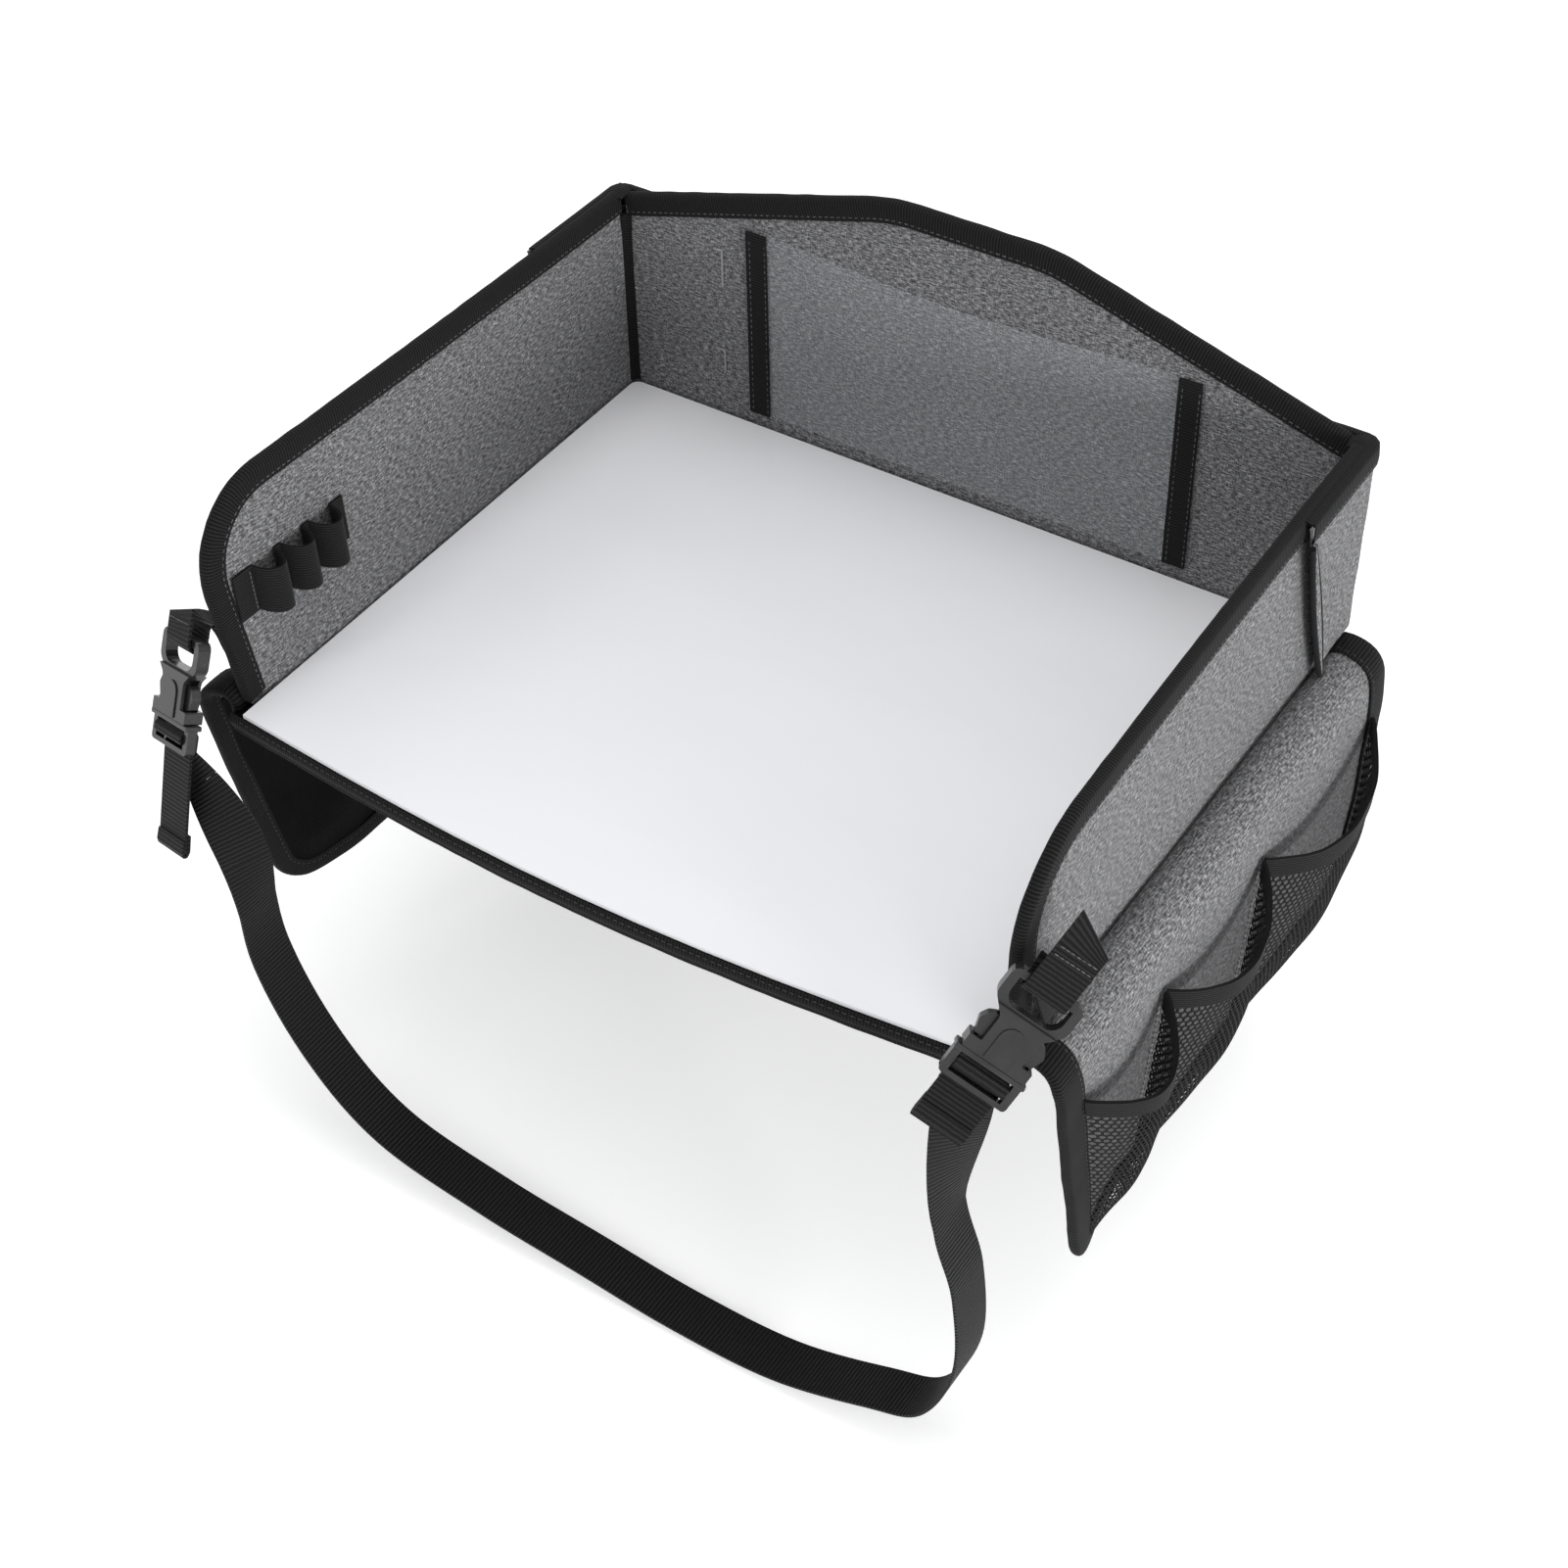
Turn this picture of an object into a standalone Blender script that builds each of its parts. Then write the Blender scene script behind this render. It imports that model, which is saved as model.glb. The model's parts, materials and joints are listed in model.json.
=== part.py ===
"""A travel tray that straps round a child in a car seat.

The origin is the middle of the base's underside. X runs to the right, Y runs away
from the child and Z runs up. All lengths are in metres and all angles in degrees.
"""

import math

import bmesh
import bpy
from mathutils import Euler, Matrix, Vector

# Fits between pieces
SEAT_GAP = 0.0003
RUNNING_GAP = 0.0006
OVERRUN = 0.004
LARGEST_CORNER_SHARE = 0.499

# Base
TRAY_WIDTH = 0.410
TRAY_DEPTH = 0.322
FRONT_LIP = 0.004
FRONT_BOW = 0.014
CASING_THICK = 0.008
CASING_SKIN = 0.002
CASING_RIM = 0.006
DRAWING_BOARD_THICK = 0.0022
BASE_CORNER_RADIUS = 0.005
FRONT_TAPE_THICK = 0.0026
FRONT_TAPE_CURL_SHARE = 0.6

# Walls
WALL_THICK = 0.007
WALL_SKIN = 0.0015
WALL_RIM = 0.005
SIDE_WALL_HEIGHT = 0.1135
SIDE_WALL_FRONT_FOOT = 0.161
SIDE_WALL_FRONT_LEAN = 0.013
SIDE_WALL_CORNER_RADIUS = 0.044
SIDE_WALL_BACK_SETBACK = 0.0032
BACK_WALL_SHOULDER = 0.1115
BACK_WALL_PEAK = 0.1590
BACK_WALL_PLATEAU = 0.090
BACK_WALL_BEND_RADIUS = 0.090
BACK_WALL_SIDE_GAP = 0.0024
HINGE_LIFT = 0.0018

# Binding tape
TAPE_THICK = 0.0010
TAPE_CROWN = 0.0008
TAPE_CURL_SHARE = 0.7
WALL_TAPE_LIP = 0.013
FLAP_TAPE_LIP = 0.012

# Pen band on the left wall
PEN_BAND_WIDTH = 0.025
PEN_BAND_LOW = 0.045
PEN_BAND_THICK = 0.0012
PEN_LOOP_COUNT = 3
PEN_LOOP_WIDTH = 0.0155
PEN_LOOP_DEPTH = 0.0125
PEN_LOOP_TACK = 0.0045
PEN_BAND_LEAD = 0.013

# Tablet window on the back wall
WINDOW_WIDTH = 0.254
WINDOW_LOW = 0.008
WINDOW_HEIGHT = 0.110
WINDOW_STRIP_WIDTH = 0.012
WINDOW_STRIP_THICK = 0.0010
FILM_THICK = 0.0006
FILM_FOOT_DEPTH = 0.0010
FILM_MOUTH_DEPTH = 0.0095

# Corner gussets, which lap the side walls from the back wall's rear
CORNER_CLOTH_THICK = 0.0014
CORNER_REACH_TOP = 0.058
CORNER_REACH_FOOT = 0.034
CORNER_REAR_REACH = 0.022
CORNER_FOOT = 0.0060
CORNER_RADIUS = 0.0040
CORNER_TAPE_LIP = 0.0100

# Gussets and side flaps
GUSSET_THICK = 0.0022
GUSSET_RISE = 0.0085
GUSSET_REACH = 0.0235
GUSSET_FOOT = 0.0040
GUSSET_END_SHARE = 0.955
FLAP_PIVOT_DROP = 0.0005
FLAP_HEIGHT = 0.150
FLAP_FRONT = 0.160
FLAP_FOOT_SETBACK = 0.018
FLAP_BACK = 0.161
FLAP_CORNER_RADIUS = 0.038
FLAP_PANEL_THICK = 0.0018
FLAP_LINING_THICK = 0.0008
FLAP_LINING_INSET = 0.0004
FLAP_SEAM_RADIUS = 0.0019

# Net pockets, from the front of the flap to its back
POCKET_WIDTH_SHARES = (0.27, 0.33, 0.40)
POCKET_TOP = 0.018
POCKET_DIP = 0.014
POCKET_FOOT_RISE = 0.013
POCKET_GAP = 0.0016
POCKET_BULGE = 0.021
POCKET_SIDE_POWER_SHARE = 0.8
POCKET_RISE_POWER_SHARE = 0.7
POCKET_SIDE_INSET = 0.0135
NET_THICK = 0.0010
NET_HOLES_WIDE = (7, 8, 9)
NET_HOLES_HIGH = 6
NET_STRAND_SHARE = 0.32
POCKET_BAND_WIDTH = 0.011
POCKET_BAND_THICK = 0.0020

# Belt
WEB_WIDTH = 0.025
WEB_THICK = 0.0014
STRAP_DROP = 0.2245
STRAP_PLANE = 0.200
STRAP_ROUTE_SHARES = (
    (-0.895, -0.195),
    (-0.865, -0.476),
    (-0.740, -0.718),
    (-0.550, -0.879),
    (-0.256, -0.944),
    (0.033, -0.974),
    (0.313, -1.000),
    (0.592, -0.991),
    (0.850, -0.913),
    (0.990, -0.844),
    (1.070, -0.650),
    (1.062, -0.420),
    (1.010, -0.216),
)
STRAP_POINTS_PER_STEP = 4
STRAP_TAIL = 0.022
STRAP_TWIST_STEPS = 2.5
WEB_BEND_SHARE = 0.8

# Buckles, in their own frame: X across, -Y from the web bar to the plug, Z outward
BUCKLE_WIDTH = 0.0345
BUCKLE_THICK = 0.0098
SOCKET_LENGTH = 0.0400
SOCKET_END_BAR = 0.0036
SOCKET_RING_LENGTH = 0.0175
SOCKET_WAIST_WIDTH = 0.0200
SOCKET_COLLAR_LENGTH = 0.0060
SOCKET_COLLAR_WIDTH = 0.0310
SOCKET_SKIN = 0.0018
SOCKET_RING_THICK = 0.0066
SOCKET_SHOULDER_SHARE = 1.5
RING_OPENING_DEPTH = 0.0120
RING_ROUND_SHARE = 0.64
TONGUE_WIDTH = 0.0110
TONGUE_LENGTH = 0.0180
TONGUE_RISE = 0.0007
PLUG_FLANGE_LENGTH = 0.0026
LADDER_THICK = 0.0050
LADDER_BAR = 0.0024
LADDER_SLOT = 0.0038
LADDER_CORNER_SHARE = 0.8
PRONG_WIDTH = 0.0050
PRONG_LENGTH = 0.0150
ARM_THICK = 0.0048
ARM_STEM = 0.0024
ARM_LENGTH = 0.0190
ARM_HOOK = 0.0016
ARM_BULGE = 0.0020
ARM_ROOT_GAP = 0.0004
PLASTIC_EDGE = 0.0006

# Where each buckle's web bar hangs: outward of the wall, forward of the base's front
# corner and above the lap; and its pitch, yaw and roll in shares of a quarter turn
BUCKLE_OUTWARD = {"left": 0.0164, "right": 0.0197}
BUCKLE_FORWARD = {"left": 0.0032, "right": 0.0036}
BUCKLE_HEIGHT = {"left": 0.0485, "right": 0.0689}
BUCKLE_TURN_SHARES = {"left": (0.667, 0.111, -0.333), "right": (0.533, -0.311, 0.556)}
TAB_LENGTH = 0.031
TAB_CUT = 0.009
TAB_SEWN_Y = -0.138
TAB_RISE = 0.014
TAB_CLEARING = 0.006
TAB_TWIST_SHARES = (0.25, 0.65)

SIDES = {"left": -1, "right": 1}

# Places worked out from the sizes above
BOARD_TOP = CASING_THICK + SEAT_GAP + DRAWING_BOARD_THICK
BACK_FACE = TRAY_DEPTH / 2
HALF_CLEAR = TRAY_WIDTH / 2
HALF_OUTER = HALF_CLEAR + WALL_THICK
WALL_HINGE_Z = BOARD_TOP + HINGE_LIFT
WALL_FOOT_Z = CASING_THICK + SEAT_GAP
BACK_HALF = HALF_CLEAR - BACK_WALL_SIDE_GAP
FRONT_CORNER_Y = -BACK_FACE - FRONT_LIP
BACK_OUTER_Y = BACK_FACE + WALL_THICK
FLAP_PIVOT_X = HALF_OUTER + SEAT_GAP + GUSSET_REACH
FLAP_PIVOT_Z = -FLAP_PIVOT_DROP
FLAP_TOP_GAP = FLAP_SEAM_RADIUS + SEAT_GAP
MOUTH_Y = SOCKET_END_BAR / 2 - SOCKET_LENGTH

model = None
guides = None


def clear_scene():
    """Remove whatever the scene holds."""
    for thing in list(bpy.data.objects):
        bpy.data.objects.remove(thing)


def new_collection(name):
    """Make a collection in the scene."""
    group = bpy.data.collections.new(name)
    bpy.context.scene.collection.children.link(group)
    return group


def material(name, colour, roughness, metallic=0.0, alpha=1.0):
    """Make a material from a colour, a roughness and a metallic value."""
    finish = bpy.data.materials.new(name)
    finish.use_nodes = True
    shader = finish.node_tree.nodes["Principled BSDF"]
    shader.inputs["Base Color"].default_value = (*colour, 1.0)
    shader.inputs["Roughness"].default_value = roughness
    shader.inputs["Metallic"].default_value = metallic
    shader.inputs["Alpha"].default_value = alpha
    finish.diffuse_color = (*colour, alpha)
    return finish


def add(name, data, finish, parent=None, place=(0, 0, 0), turn=(0, 0, 0)):
    """Put an object of the model in its place."""
    thing = bpy.data.objects.new(name, data)
    model.objects.link(thing)
    thing.parent = parent
    thing.location = place
    thing.rotation_euler = turn
    if finish is not None:
        data.materials.clear()
        data.materials.append(finish)
    return thing


def pivot(name, place, turn=(0, 0, 0), order="XYZ", parent=None):
    """Add the empty that a moving group of pieces turns on."""
    empty = bpy.data.objects.new(name, None)
    guides.objects.link(empty)
    empty.parent = parent
    empty.location = place
    empty.rotation_mode = order
    empty.rotation_euler = turn
    return empty


def rounded(points, steps=5):
    """Return an outline whose corners (x, y, radius) are arcs."""
    outline = []
    count = len(points)
    for i, (x, y, radius) in enumerate(points):
        corner = Vector((x, y))
        before = Vector(points[i - 1][:2]) - corner
        after = Vector(points[(i + 1) % count][:2]) - corner
        if radius == 0:
            outline.append(tuple(corner))
            continue
        half = before.angle(after) / 2
        reach = radius / math.tan(half)
        limit = min(before.length, after.length) * LARGEST_CORNER_SHARE
        if reach > limit:
            reach = limit
            radius = reach * math.tan(half)
        middle = corner + (before.normalized() + after.normalized()).normalized() * (
            radius / math.sin(half)
        )
        first = corner + before.normalized() * reach - middle
        last = corner + after.normalized() * reach - middle
        sweep = first.angle_signed(last)
        for k in range(steps + 1):
            spoke = first.copy()
            spoke.rotate(Matrix.Rotation(-sweep * k / steps, 2))
            outline.append(tuple(middle + spoke))
    return outline


def mirrored(points):
    """Return a whole outline from its right half, listed top to bottom."""
    return points + [(-x, y, radius) for x, y, radius in reversed(points)]


def line_curve(name, points, cyclic):
    """Make a flat curve of straight steps."""
    curve = bpy.data.curves.new(name, "CURVE")
    curve.dimensions = "2D"
    spline = curve.splines.new("POLY")
    spline.points.add(len(points) - 1)
    for knot, (x, y) in zip(spline.points, points):
        knot.co = (x, y, 0, 1)
    spline.use_cyclic_u = cyclic
    return curve


def curve_mesh(name, curve):
    """Turn a curve into a closed mesh with its faces pointing out."""
    holder = bpy.data.objects.new(name, curve)
    guides.objects.link(holder)
    bpy.context.view_layer.update()
    graph = bpy.context.evaluated_depsgraph_get()
    mesh = bpy.data.meshes.new_from_object(holder.evaluated_get(graph))
    bpy.data.objects.remove(holder)
    shape = bmesh.new()
    shape.from_mesh(mesh)
    bmesh.ops.remove_doubles(shape, verts=shape.verts, dist=SEAT_GAP / 30)
    bmesh.ops.recalc_face_normals(shape, faces=shape.faces)
    shape.to_mesh(mesh)
    shape.free()
    return mesh


def plate_mesh(name, outline, thickness):
    """Extrude a flat outline, half its thickness to each side."""
    curve = line_curve(name, outline, True)
    curve.fill_mode = "BOTH"
    curve.extrude = thickness / 2
    return curve_mesh(name, curve)


def rod_mesh(name, start, end, radius, sides=16):
    """Make a round rod along Y."""
    shape = bmesh.new()
    turn = Matrix.Rotation(math.pi / 2, 4, "X")
    place = Matrix.Translation((0, (start + end) / 2, 0)) @ turn
    sizes = {"segments": sides, "radius1": radius, "radius2": radius, "depth": end - start}
    bmesh.ops.create_cone(shape, cap_ends=True, matrix=place, **sizes)
    mesh = bpy.data.meshes.new(name)
    shape.to_mesh(mesh)
    shape.free()
    return mesh


def swept_mesh(name, path, section, cyclic=False):
    """Sweep a closed section, given as (right of the path, up), along a flat path."""
    profile = bpy.data.objects.new(name + "_section", line_curve(name, section, True))
    guides.objects.link(profile)
    curve = line_curve(name, path, cyclic)
    curve.bevel_mode = "OBJECT"
    curve.bevel_object = profile
    curve.use_fill_caps = True
    mesh = curve_mesh(name, curve)
    bpy.data.objects.remove(profile)
    return mesh


def block_mesh(name, low, high):
    """Make a box from its lowest and highest corners."""
    mesh = bpy.data.meshes.new(name)
    shape = bmesh.new()
    bmesh.ops.create_cube(shape, size=1)
    low, high = Vector(low), Vector(high)
    bmesh.ops.scale(shape, vec=high - low, verts=shape.verts)
    bmesh.ops.translate(shape, vec=(low + high) / 2, verts=shape.verts)
    shape.to_mesh(mesh)
    shape.free()
    return mesh


def surface_mesh(name, across, along, point, is_open=None):
    """Make an open surface from a function of two shares, with open cells."""
    mesh = bpy.data.meshes.new(name)
    shape = bmesh.new()
    rows = [[shape.verts.new(point(u, v)) for u in across] for v in along]
    for j in range(len(along) - 1):
        for i in range(len(across) - 1):
            if is_open and is_open(i, j):
                continue
            corners = (rows[j][i], rows[j][i + 1], rows[j + 1][i + 1], rows[j + 1][i])
            shape.faces.new(corners)
    shape.to_mesh(mesh)
    shape.free()
    return mesh


def thicken(thing, thickness):
    """Give an open surface its thickness, half to each side."""
    shell = thing.modifiers.new("Thickness", "SOLIDIFY")
    shell.thickness = thickness
    shell.offset = 0
    shell.use_even_offset = True
    return thing


def round_edges(thing, width, segments=2, angle=40):
    """Round the edges that are sharper than an angle."""
    bevel = thing.modifiers.new("Rounded edges", "BEVEL")
    bevel.width = width
    bevel.segments = segments
    bevel.limit_method = "ANGLE"
    bevel.angle_limit = math.radians(angle)
    return thing


def cutter(name, mesh, parent, place=(0, 0, 0), turn=(0, 0, 0)):
    """Add a guide body that is cut out of a piece or joined to it."""
    body = bpy.data.objects.new(name, mesh)
    guides.objects.link(body)
    body.parent = parent
    body.location = place
    body.rotation_euler = turn
    body.hide_render = True
    body.display_type = "WIRE"
    return body


def combine(thing, body, operation="DIFFERENCE"):
    """Cut a guide body out of a piece, or join it on."""
    step = thing.modifiers.new(body.name, "BOOLEAN")
    step.object = body
    step.operation = operation
    step.solver = "EXACT"
    return thing


def smooth(mesh, angle=40):
    """Shade a mesh smooth, apart from its sharp edges."""
    mesh.shade_smooth()
    mesh.set_sharp_from_angle(angle=math.radians(angle))


def shares(count):
    """Return evenly spaced shares from 0 to 1."""
    return [i / count for i in range(count + 1)]


# Turns that stand a flat outline up: for a side wall X becomes the row's Y and Z its X
SIDE_TURN = (math.pi / 2, 0, math.pi / 2)
FRONT_TURN = (math.pi / 2, 0, 0)


def front_y(x, inset=0.0):
    """Return where the bowed front edge lies at x."""
    return FRONT_CORNER_Y + inset - FRONT_BOW * math.cos(math.pi * x / (2 * HALF_OUTER))


def front_line(half, inset=0.0, steps=12):
    """Return the bowed front edge from left to right."""
    places = [half * (2 * share - 1) for share in shares(steps)]
    return [(x, front_y(x, inset)) for x in places]


def base_outline(back, half, inset=0.0):
    """Return an outline with the bowed front and rounded back corners."""
    corner = BASE_CORNER_RADIUS
    front = [(x, y, 0) for x, y in front_line(half, inset)]
    return rounded([*front, (half, back, corner), (-half, back, corner)])


def make_base(finishes):
    """Make the casing, its stiffener, the drawing board and the front tape."""
    depth = CASING_THICK - 2 * CASING_SKIN
    half = HALF_OUTER - CASING_RIM
    back = BACK_OUTER_Y - CASING_RIM
    middle = (0, 0, CASING_THICK / 2)
    mesh = plate_mesh("base_casing", base_outline(BACK_OUTER_Y, HALF_OUTER), CASING_THICK)
    casing = add("base_casing", mesh, finishes["lining"], place=middle)
    slot = base_outline(back, half, -OVERRUN)
    combine(casing, cutter("stiffener_slot", plate_mesh("slot", slot, depth), None, middle))
    board = base_outline(back - SEAT_GAP, half - SEAT_GAP, SEAT_GAP)
    mesh = plate_mesh("base_stiffener", board, depth - 2 * SEAT_GAP)
    add("base_stiffener", mesh, finishes["stiffener"], place=middle)
    edge = TAPE_THICK + 2 * SEAT_GAP
    top = base_outline(BACK_FACE - edge, HALF_CLEAR - edge)
    mesh = plate_mesh("drawing_board", top, DRAWING_BOARD_THICK)
    place = (0, 0, BOARD_TOP - DRAWING_BOARD_THICK / 2)
    add("drawing_board", mesh, finishes["board"], place=place)
    reach = SEAT_GAP + FRONT_TAPE_THICK
    curl = FRONT_TAPE_THICK * FRONT_TAPE_CURL_SHARE
    section = rounded(
        [
            (SEAT_GAP, 0, 0),
            (reach, 0, curl),
            (reach, CASING_THICK, curl),
            (SEAT_GAP, CASING_THICK, 0),
        ],
        2,
    )
    mesh = swept_mesh("front_binding", front_line(HALF_OUTER), section)
    smooth(mesh)
    add("front_binding", mesh, finishes["tape"])


def tape_section(inner_half, lip):
    """Return the folded section of a binding tape round an edge of given half thickness."""
    inner = inner_half + SEAT_GAP
    outer = inner + TAPE_THICK
    crown = SEAT_GAP + TAPE_THICK + TAPE_CROWN
    curl = min(outer, crown + lip / 2) * TAPE_CURL_SHARE
    return rounded(
        [
            (-lip, outer, 0),
            (crown, outer, curl),
            (crown, -outer, curl),
            (-lip, -outer, 0),
            (-lip, -inner, 0),
            (SEAT_GAP, -inner, 0),
            (SEAT_GAP, inner, 0),
            (-lip, inner, 0),
        ],
        3,
    )


def side_wall_outline(rim=0.0, edge=0.0):
    """Return a side wall's outline about its hinge, inset at the rim and the taped edge."""
    foot = WALL_FOOT_Z - WALL_HINGE_Z + rim
    top = BOARD_TOP + SIDE_WALL_HEIGHT - WALL_HINGE_Z - edge
    back = BACK_FACE - SIDE_WALL_BACK_SETBACK - rim
    front_foot = -SIDE_WALL_FRONT_FOOT + edge
    front_top = front_foot - SIDE_WALL_FRONT_LEAN
    radius = SIDE_WALL_CORNER_RADIUS - edge
    corners = [(back, foot, 0), (back, top, 0), (front_top, top, radius), (front_foot, foot, 0)]
    return rounded(corners, 8)


def side_tape_path():
    """Return the taped edge of a side wall, from the back down to just over the board."""
    path = side_wall_outline()[1:]
    (x0, y0), (x1, y1) = path[-2:]
    end = BOARD_TOP + SEAT_GAP + RUNNING_GAP - WALL_HINGE_Z
    share = (end - y0) / (y1 - y0)
    return [*path[:-1], (x0 + share * (x1 - x0), end)]


def make_wall(name, hinge, place, turn, outlines, path, finishes):
    """Make one wall: its cloth cover, the board inside it and the tape round its edge."""
    cover_outline, slot_outline, board_outline = outlines
    depth = WALL_THICK - 2 * WALL_SKIN
    mesh = plate_mesh(name + "_cover", cover_outline, WALL_THICK)
    cover = add(name + "_cover", mesh, finishes["cloth"], hinge, place, turn)
    slot = plate_mesh(name + "_slot", slot_outline, depth)
    combine(cover, cutter(name + "_slot", slot, hinge, place, turn))
    mesh = plate_mesh(name + "_board", board_outline, depth - 2 * SEAT_GAP)
    add(name + "_board", mesh, finishes["stiffener"], hinge, place, turn)
    mesh = swept_mesh(name + "_binding", path, tape_section(WALL_THICK / 2, WALL_TAPE_LIP))
    smooth(mesh)
    add(name + "_binding", mesh, finishes["tape"], hinge, place, turn)


def make_side_wall(side, finishes):
    """Make a side wall on its hinge."""
    sign = SIDES[side]
    hinge = pivot(side + "_wall_hinge", (sign * HALF_CLEAR, 0, WALL_HINGE_Z))
    outlines = (
        side_wall_outline(),
        side_wall_outline(WALL_RIM, -OVERRUN),
        side_wall_outline(WALL_RIM + SEAT_GAP, SEAT_GAP),
    )
    place = (sign * WALL_THICK / 2, 0, 0)
    make_wall(side + "_wall", hinge, place, SIDE_TURN, outlines, side_tape_path(), finishes)
    if side == "left":
        make_pen_band(hinge, sign, finishes)


def corner_path(side):
    """Return a corner gusset's line in plan, from the back wall's rear to the side wall."""
    sign = SIDES[side]
    off = TAPE_THICK * 2 + SEAT_GAP * 3 + CORNER_CLOTH_THICK / 2
    rear = BACK_OUTER_Y + off
    outer = sign * (HALF_OUTER + off)
    inner = sign * (BACK_HALF - CORNER_REAR_REACH)
    front = BACK_FACE - CORNER_REACH_TOP
    bend = rounded([(inner, rear, 0), (outer, rear, CORNER_RADIUS), (outer, front, 0)], 6)
    return bend


def make_corner_gusset(side, finishes):
    """Make the cloth that closes a back corner, and the tape over its top edge."""
    path = corner_path(side)
    foot = BOARD_TOP + CORNER_FOOT
    top = BOARD_TOP + SIDE_WALL_HEIGHT
    lean = CORNER_REACH_TOP - CORNER_REACH_FOOT

    def point(v, i):
        x, y = path[i]
        back_off = lean * (1 - v) if i == len(path) - 1 else 0
        return (x, y + back_off, foot + (top - foot) * v)

    mesh = surface_mesh(side + "_corner_gusset", (0, 1), range(len(path)), point)
    smooth(mesh)
    cloth = add(side + "_corner_gusset", mesh, finishes["cloth"])
    thicken(cloth, CORNER_CLOTH_THICK)
    section = tape_section(CORNER_CLOTH_THICK / 2, CORNER_TAPE_LIP)
    standing = [(across, up) for up, across in section]
    mesh = swept_mesh(side + "_corner_binding", path, standing)
    smooth(mesh)
    add(side + "_corner_binding", mesh, finishes["tape"], place=(0, 0, top))


def pen_band_path():
    """Return the band's line as (along the wall, off the wall), front to back."""
    lean = SIDE_WALL_FRONT_LEAN * PEN_BAND_LOW / SIDE_WALL_HEIGHT
    start = -SIDE_WALL_FRONT_FOOT - lean + WALL_TAPE_LIP + 2 * RUNNING_GAP
    path = [(start, 0.0)]
    place = start + PEN_BAND_LEAD
    for _ in range(PEN_LOOP_COUNT):
        for share in shares(8):
            angle = math.pi * share
            along = place + PEN_LOOP_WIDTH * (1 - math.cos(angle)) / 2
            path.append((along, PEN_LOOP_DEPTH * math.sin(angle)))
        place += PEN_LOOP_WIDTH + PEN_LOOP_TACK
    path.append((place + PEN_LOOP_TACK, 0.0))
    return path


def make_pen_band(hinge, sign, finishes):
    """Make the elastic band that holds pens on the inside of the wall."""
    path = pen_band_path()
    foot = BOARD_TOP + PEN_BAND_LOW - WALL_HINGE_Z
    seat = SEAT_GAP + PEN_BAND_THICK / 2

    def point(u, i):
        along, off = path[i]
        return (-sign * (seat + off), along, foot + u * PEN_BAND_WIDTH)

    mesh = surface_mesh("pen_band", (0, 1), range(len(path)), point)
    smooth(mesh, 60)
    thicken(add("pen_band", mesh, finishes["elastic"], hinge), PEN_BAND_THICK)


def back_wall_outline(rim=0.0, edge=0.0):
    """Return the back wall's gabled outline about its hinge."""
    half = BACK_HALF - rim
    foot = WALL_FOOT_Z - WALL_HINGE_Z + rim
    shoulder = BOARD_TOP + BACK_WALL_SHOULDER - WALL_HINGE_Z - edge
    peak = BOARD_TOP + BACK_WALL_PEAK - WALL_HINGE_Z - edge
    bend = BACK_WALL_BEND_RADIUS
    return rounded(
        mirrored([(BACK_WALL_PLATEAU / 2, peak, bend), (half, shoulder, 0), (half, foot, 0)]), 6
    )


def make_back_wall(finishes):
    """Make the back wall on its hinge, with the tablet window."""
    hinge = pivot("back_wall_hinge", (0, BACK_FACE, WALL_HINGE_Z))
    outlines = (
        back_wall_outline(),
        back_wall_outline(WALL_RIM, -OVERRUN),
        back_wall_outline(WALL_RIM + SEAT_GAP, SEAT_GAP),
    )
    place = (0, WALL_THICK / 2, 0)
    top = sorted((p for p in back_wall_outline() if p[1] > 0), key=lambda p: -p[0])
    make_wall("back_wall", hinge, place, FRONT_TURN, outlines, top, finishes)
    make_window(hinge, finishes)


def make_window(hinge, finishes):
    """Make the clear tablet window: two side strips and a film that opens at the top."""
    low = BOARD_TOP + WINDOW_LOW - WALL_HINGE_Z
    half = WINDOW_WIDTH / 2
    for side, sign in SIDES.items():
        ends = sorted((sign * half, sign * (half - WINDOW_STRIP_WIDTH)))
        mesh = block_mesh(
            side + "_window_strip",
            (ends[0], -SEAT_GAP - WINDOW_STRIP_THICK, low),
            (ends[1], -SEAT_GAP, low + WINDOW_HEIGHT),
        )
        add(side + "_window_strip", mesh, finishes["tape"], hinge)
    reach = half - WINDOW_STRIP_WIDTH - SEAT_GAP

    def point(u, v):
        across = 2 * u - 1
        depth = FILM_FOOT_DEPTH + (FILM_MOUTH_DEPTH - FILM_FOOT_DEPTH) * v
        off = SEAT_GAP + FILM_THICK / 2 + depth * (1 - across * across)
        return (reach * across, -off, low + WINDOW_HEIGHT * v)

    mesh = surface_mesh("tablet_window", shares(16), shares(4), point)
    smooth(mesh)
    thicken(add("tablet_window", mesh, finishes["film"], hinge), FILM_THICK)


def gusset_height(share):
    """Return the height of a flap gusset's middle at a share of its way out to the flap."""
    drop = GUSSET_FOOT - FLAP_PIVOT_Z - GUSSET_THICK / 2
    return GUSSET_FOOT + GUSSET_RISE * math.sin(math.pi * share) - drop * share


def make_flap_gusset(side, finishes):
    """Make the soft ridge of cloth between the base and a flap."""
    sign = SIDES[side]
    start = HALF_OUTER + SEAT_GAP + GUSSET_THICK / 2
    span = FLAP_PIVOT_X - start

    def point(u, v):
        share = GUSSET_END_SHARE * u
        y = FLAP_BACK * v - FLAP_FRONT * (1 - v)
        return (sign * (start + span * share), y, gusset_height(share))

    mesh = surface_mesh(side + "_flap_gusset", shares(12), (0, 1), point)
    smooth(mesh)
    thicken(add(side + "_flap_gusset", mesh, finishes["cloth"]), GUSSET_THICK)


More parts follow.
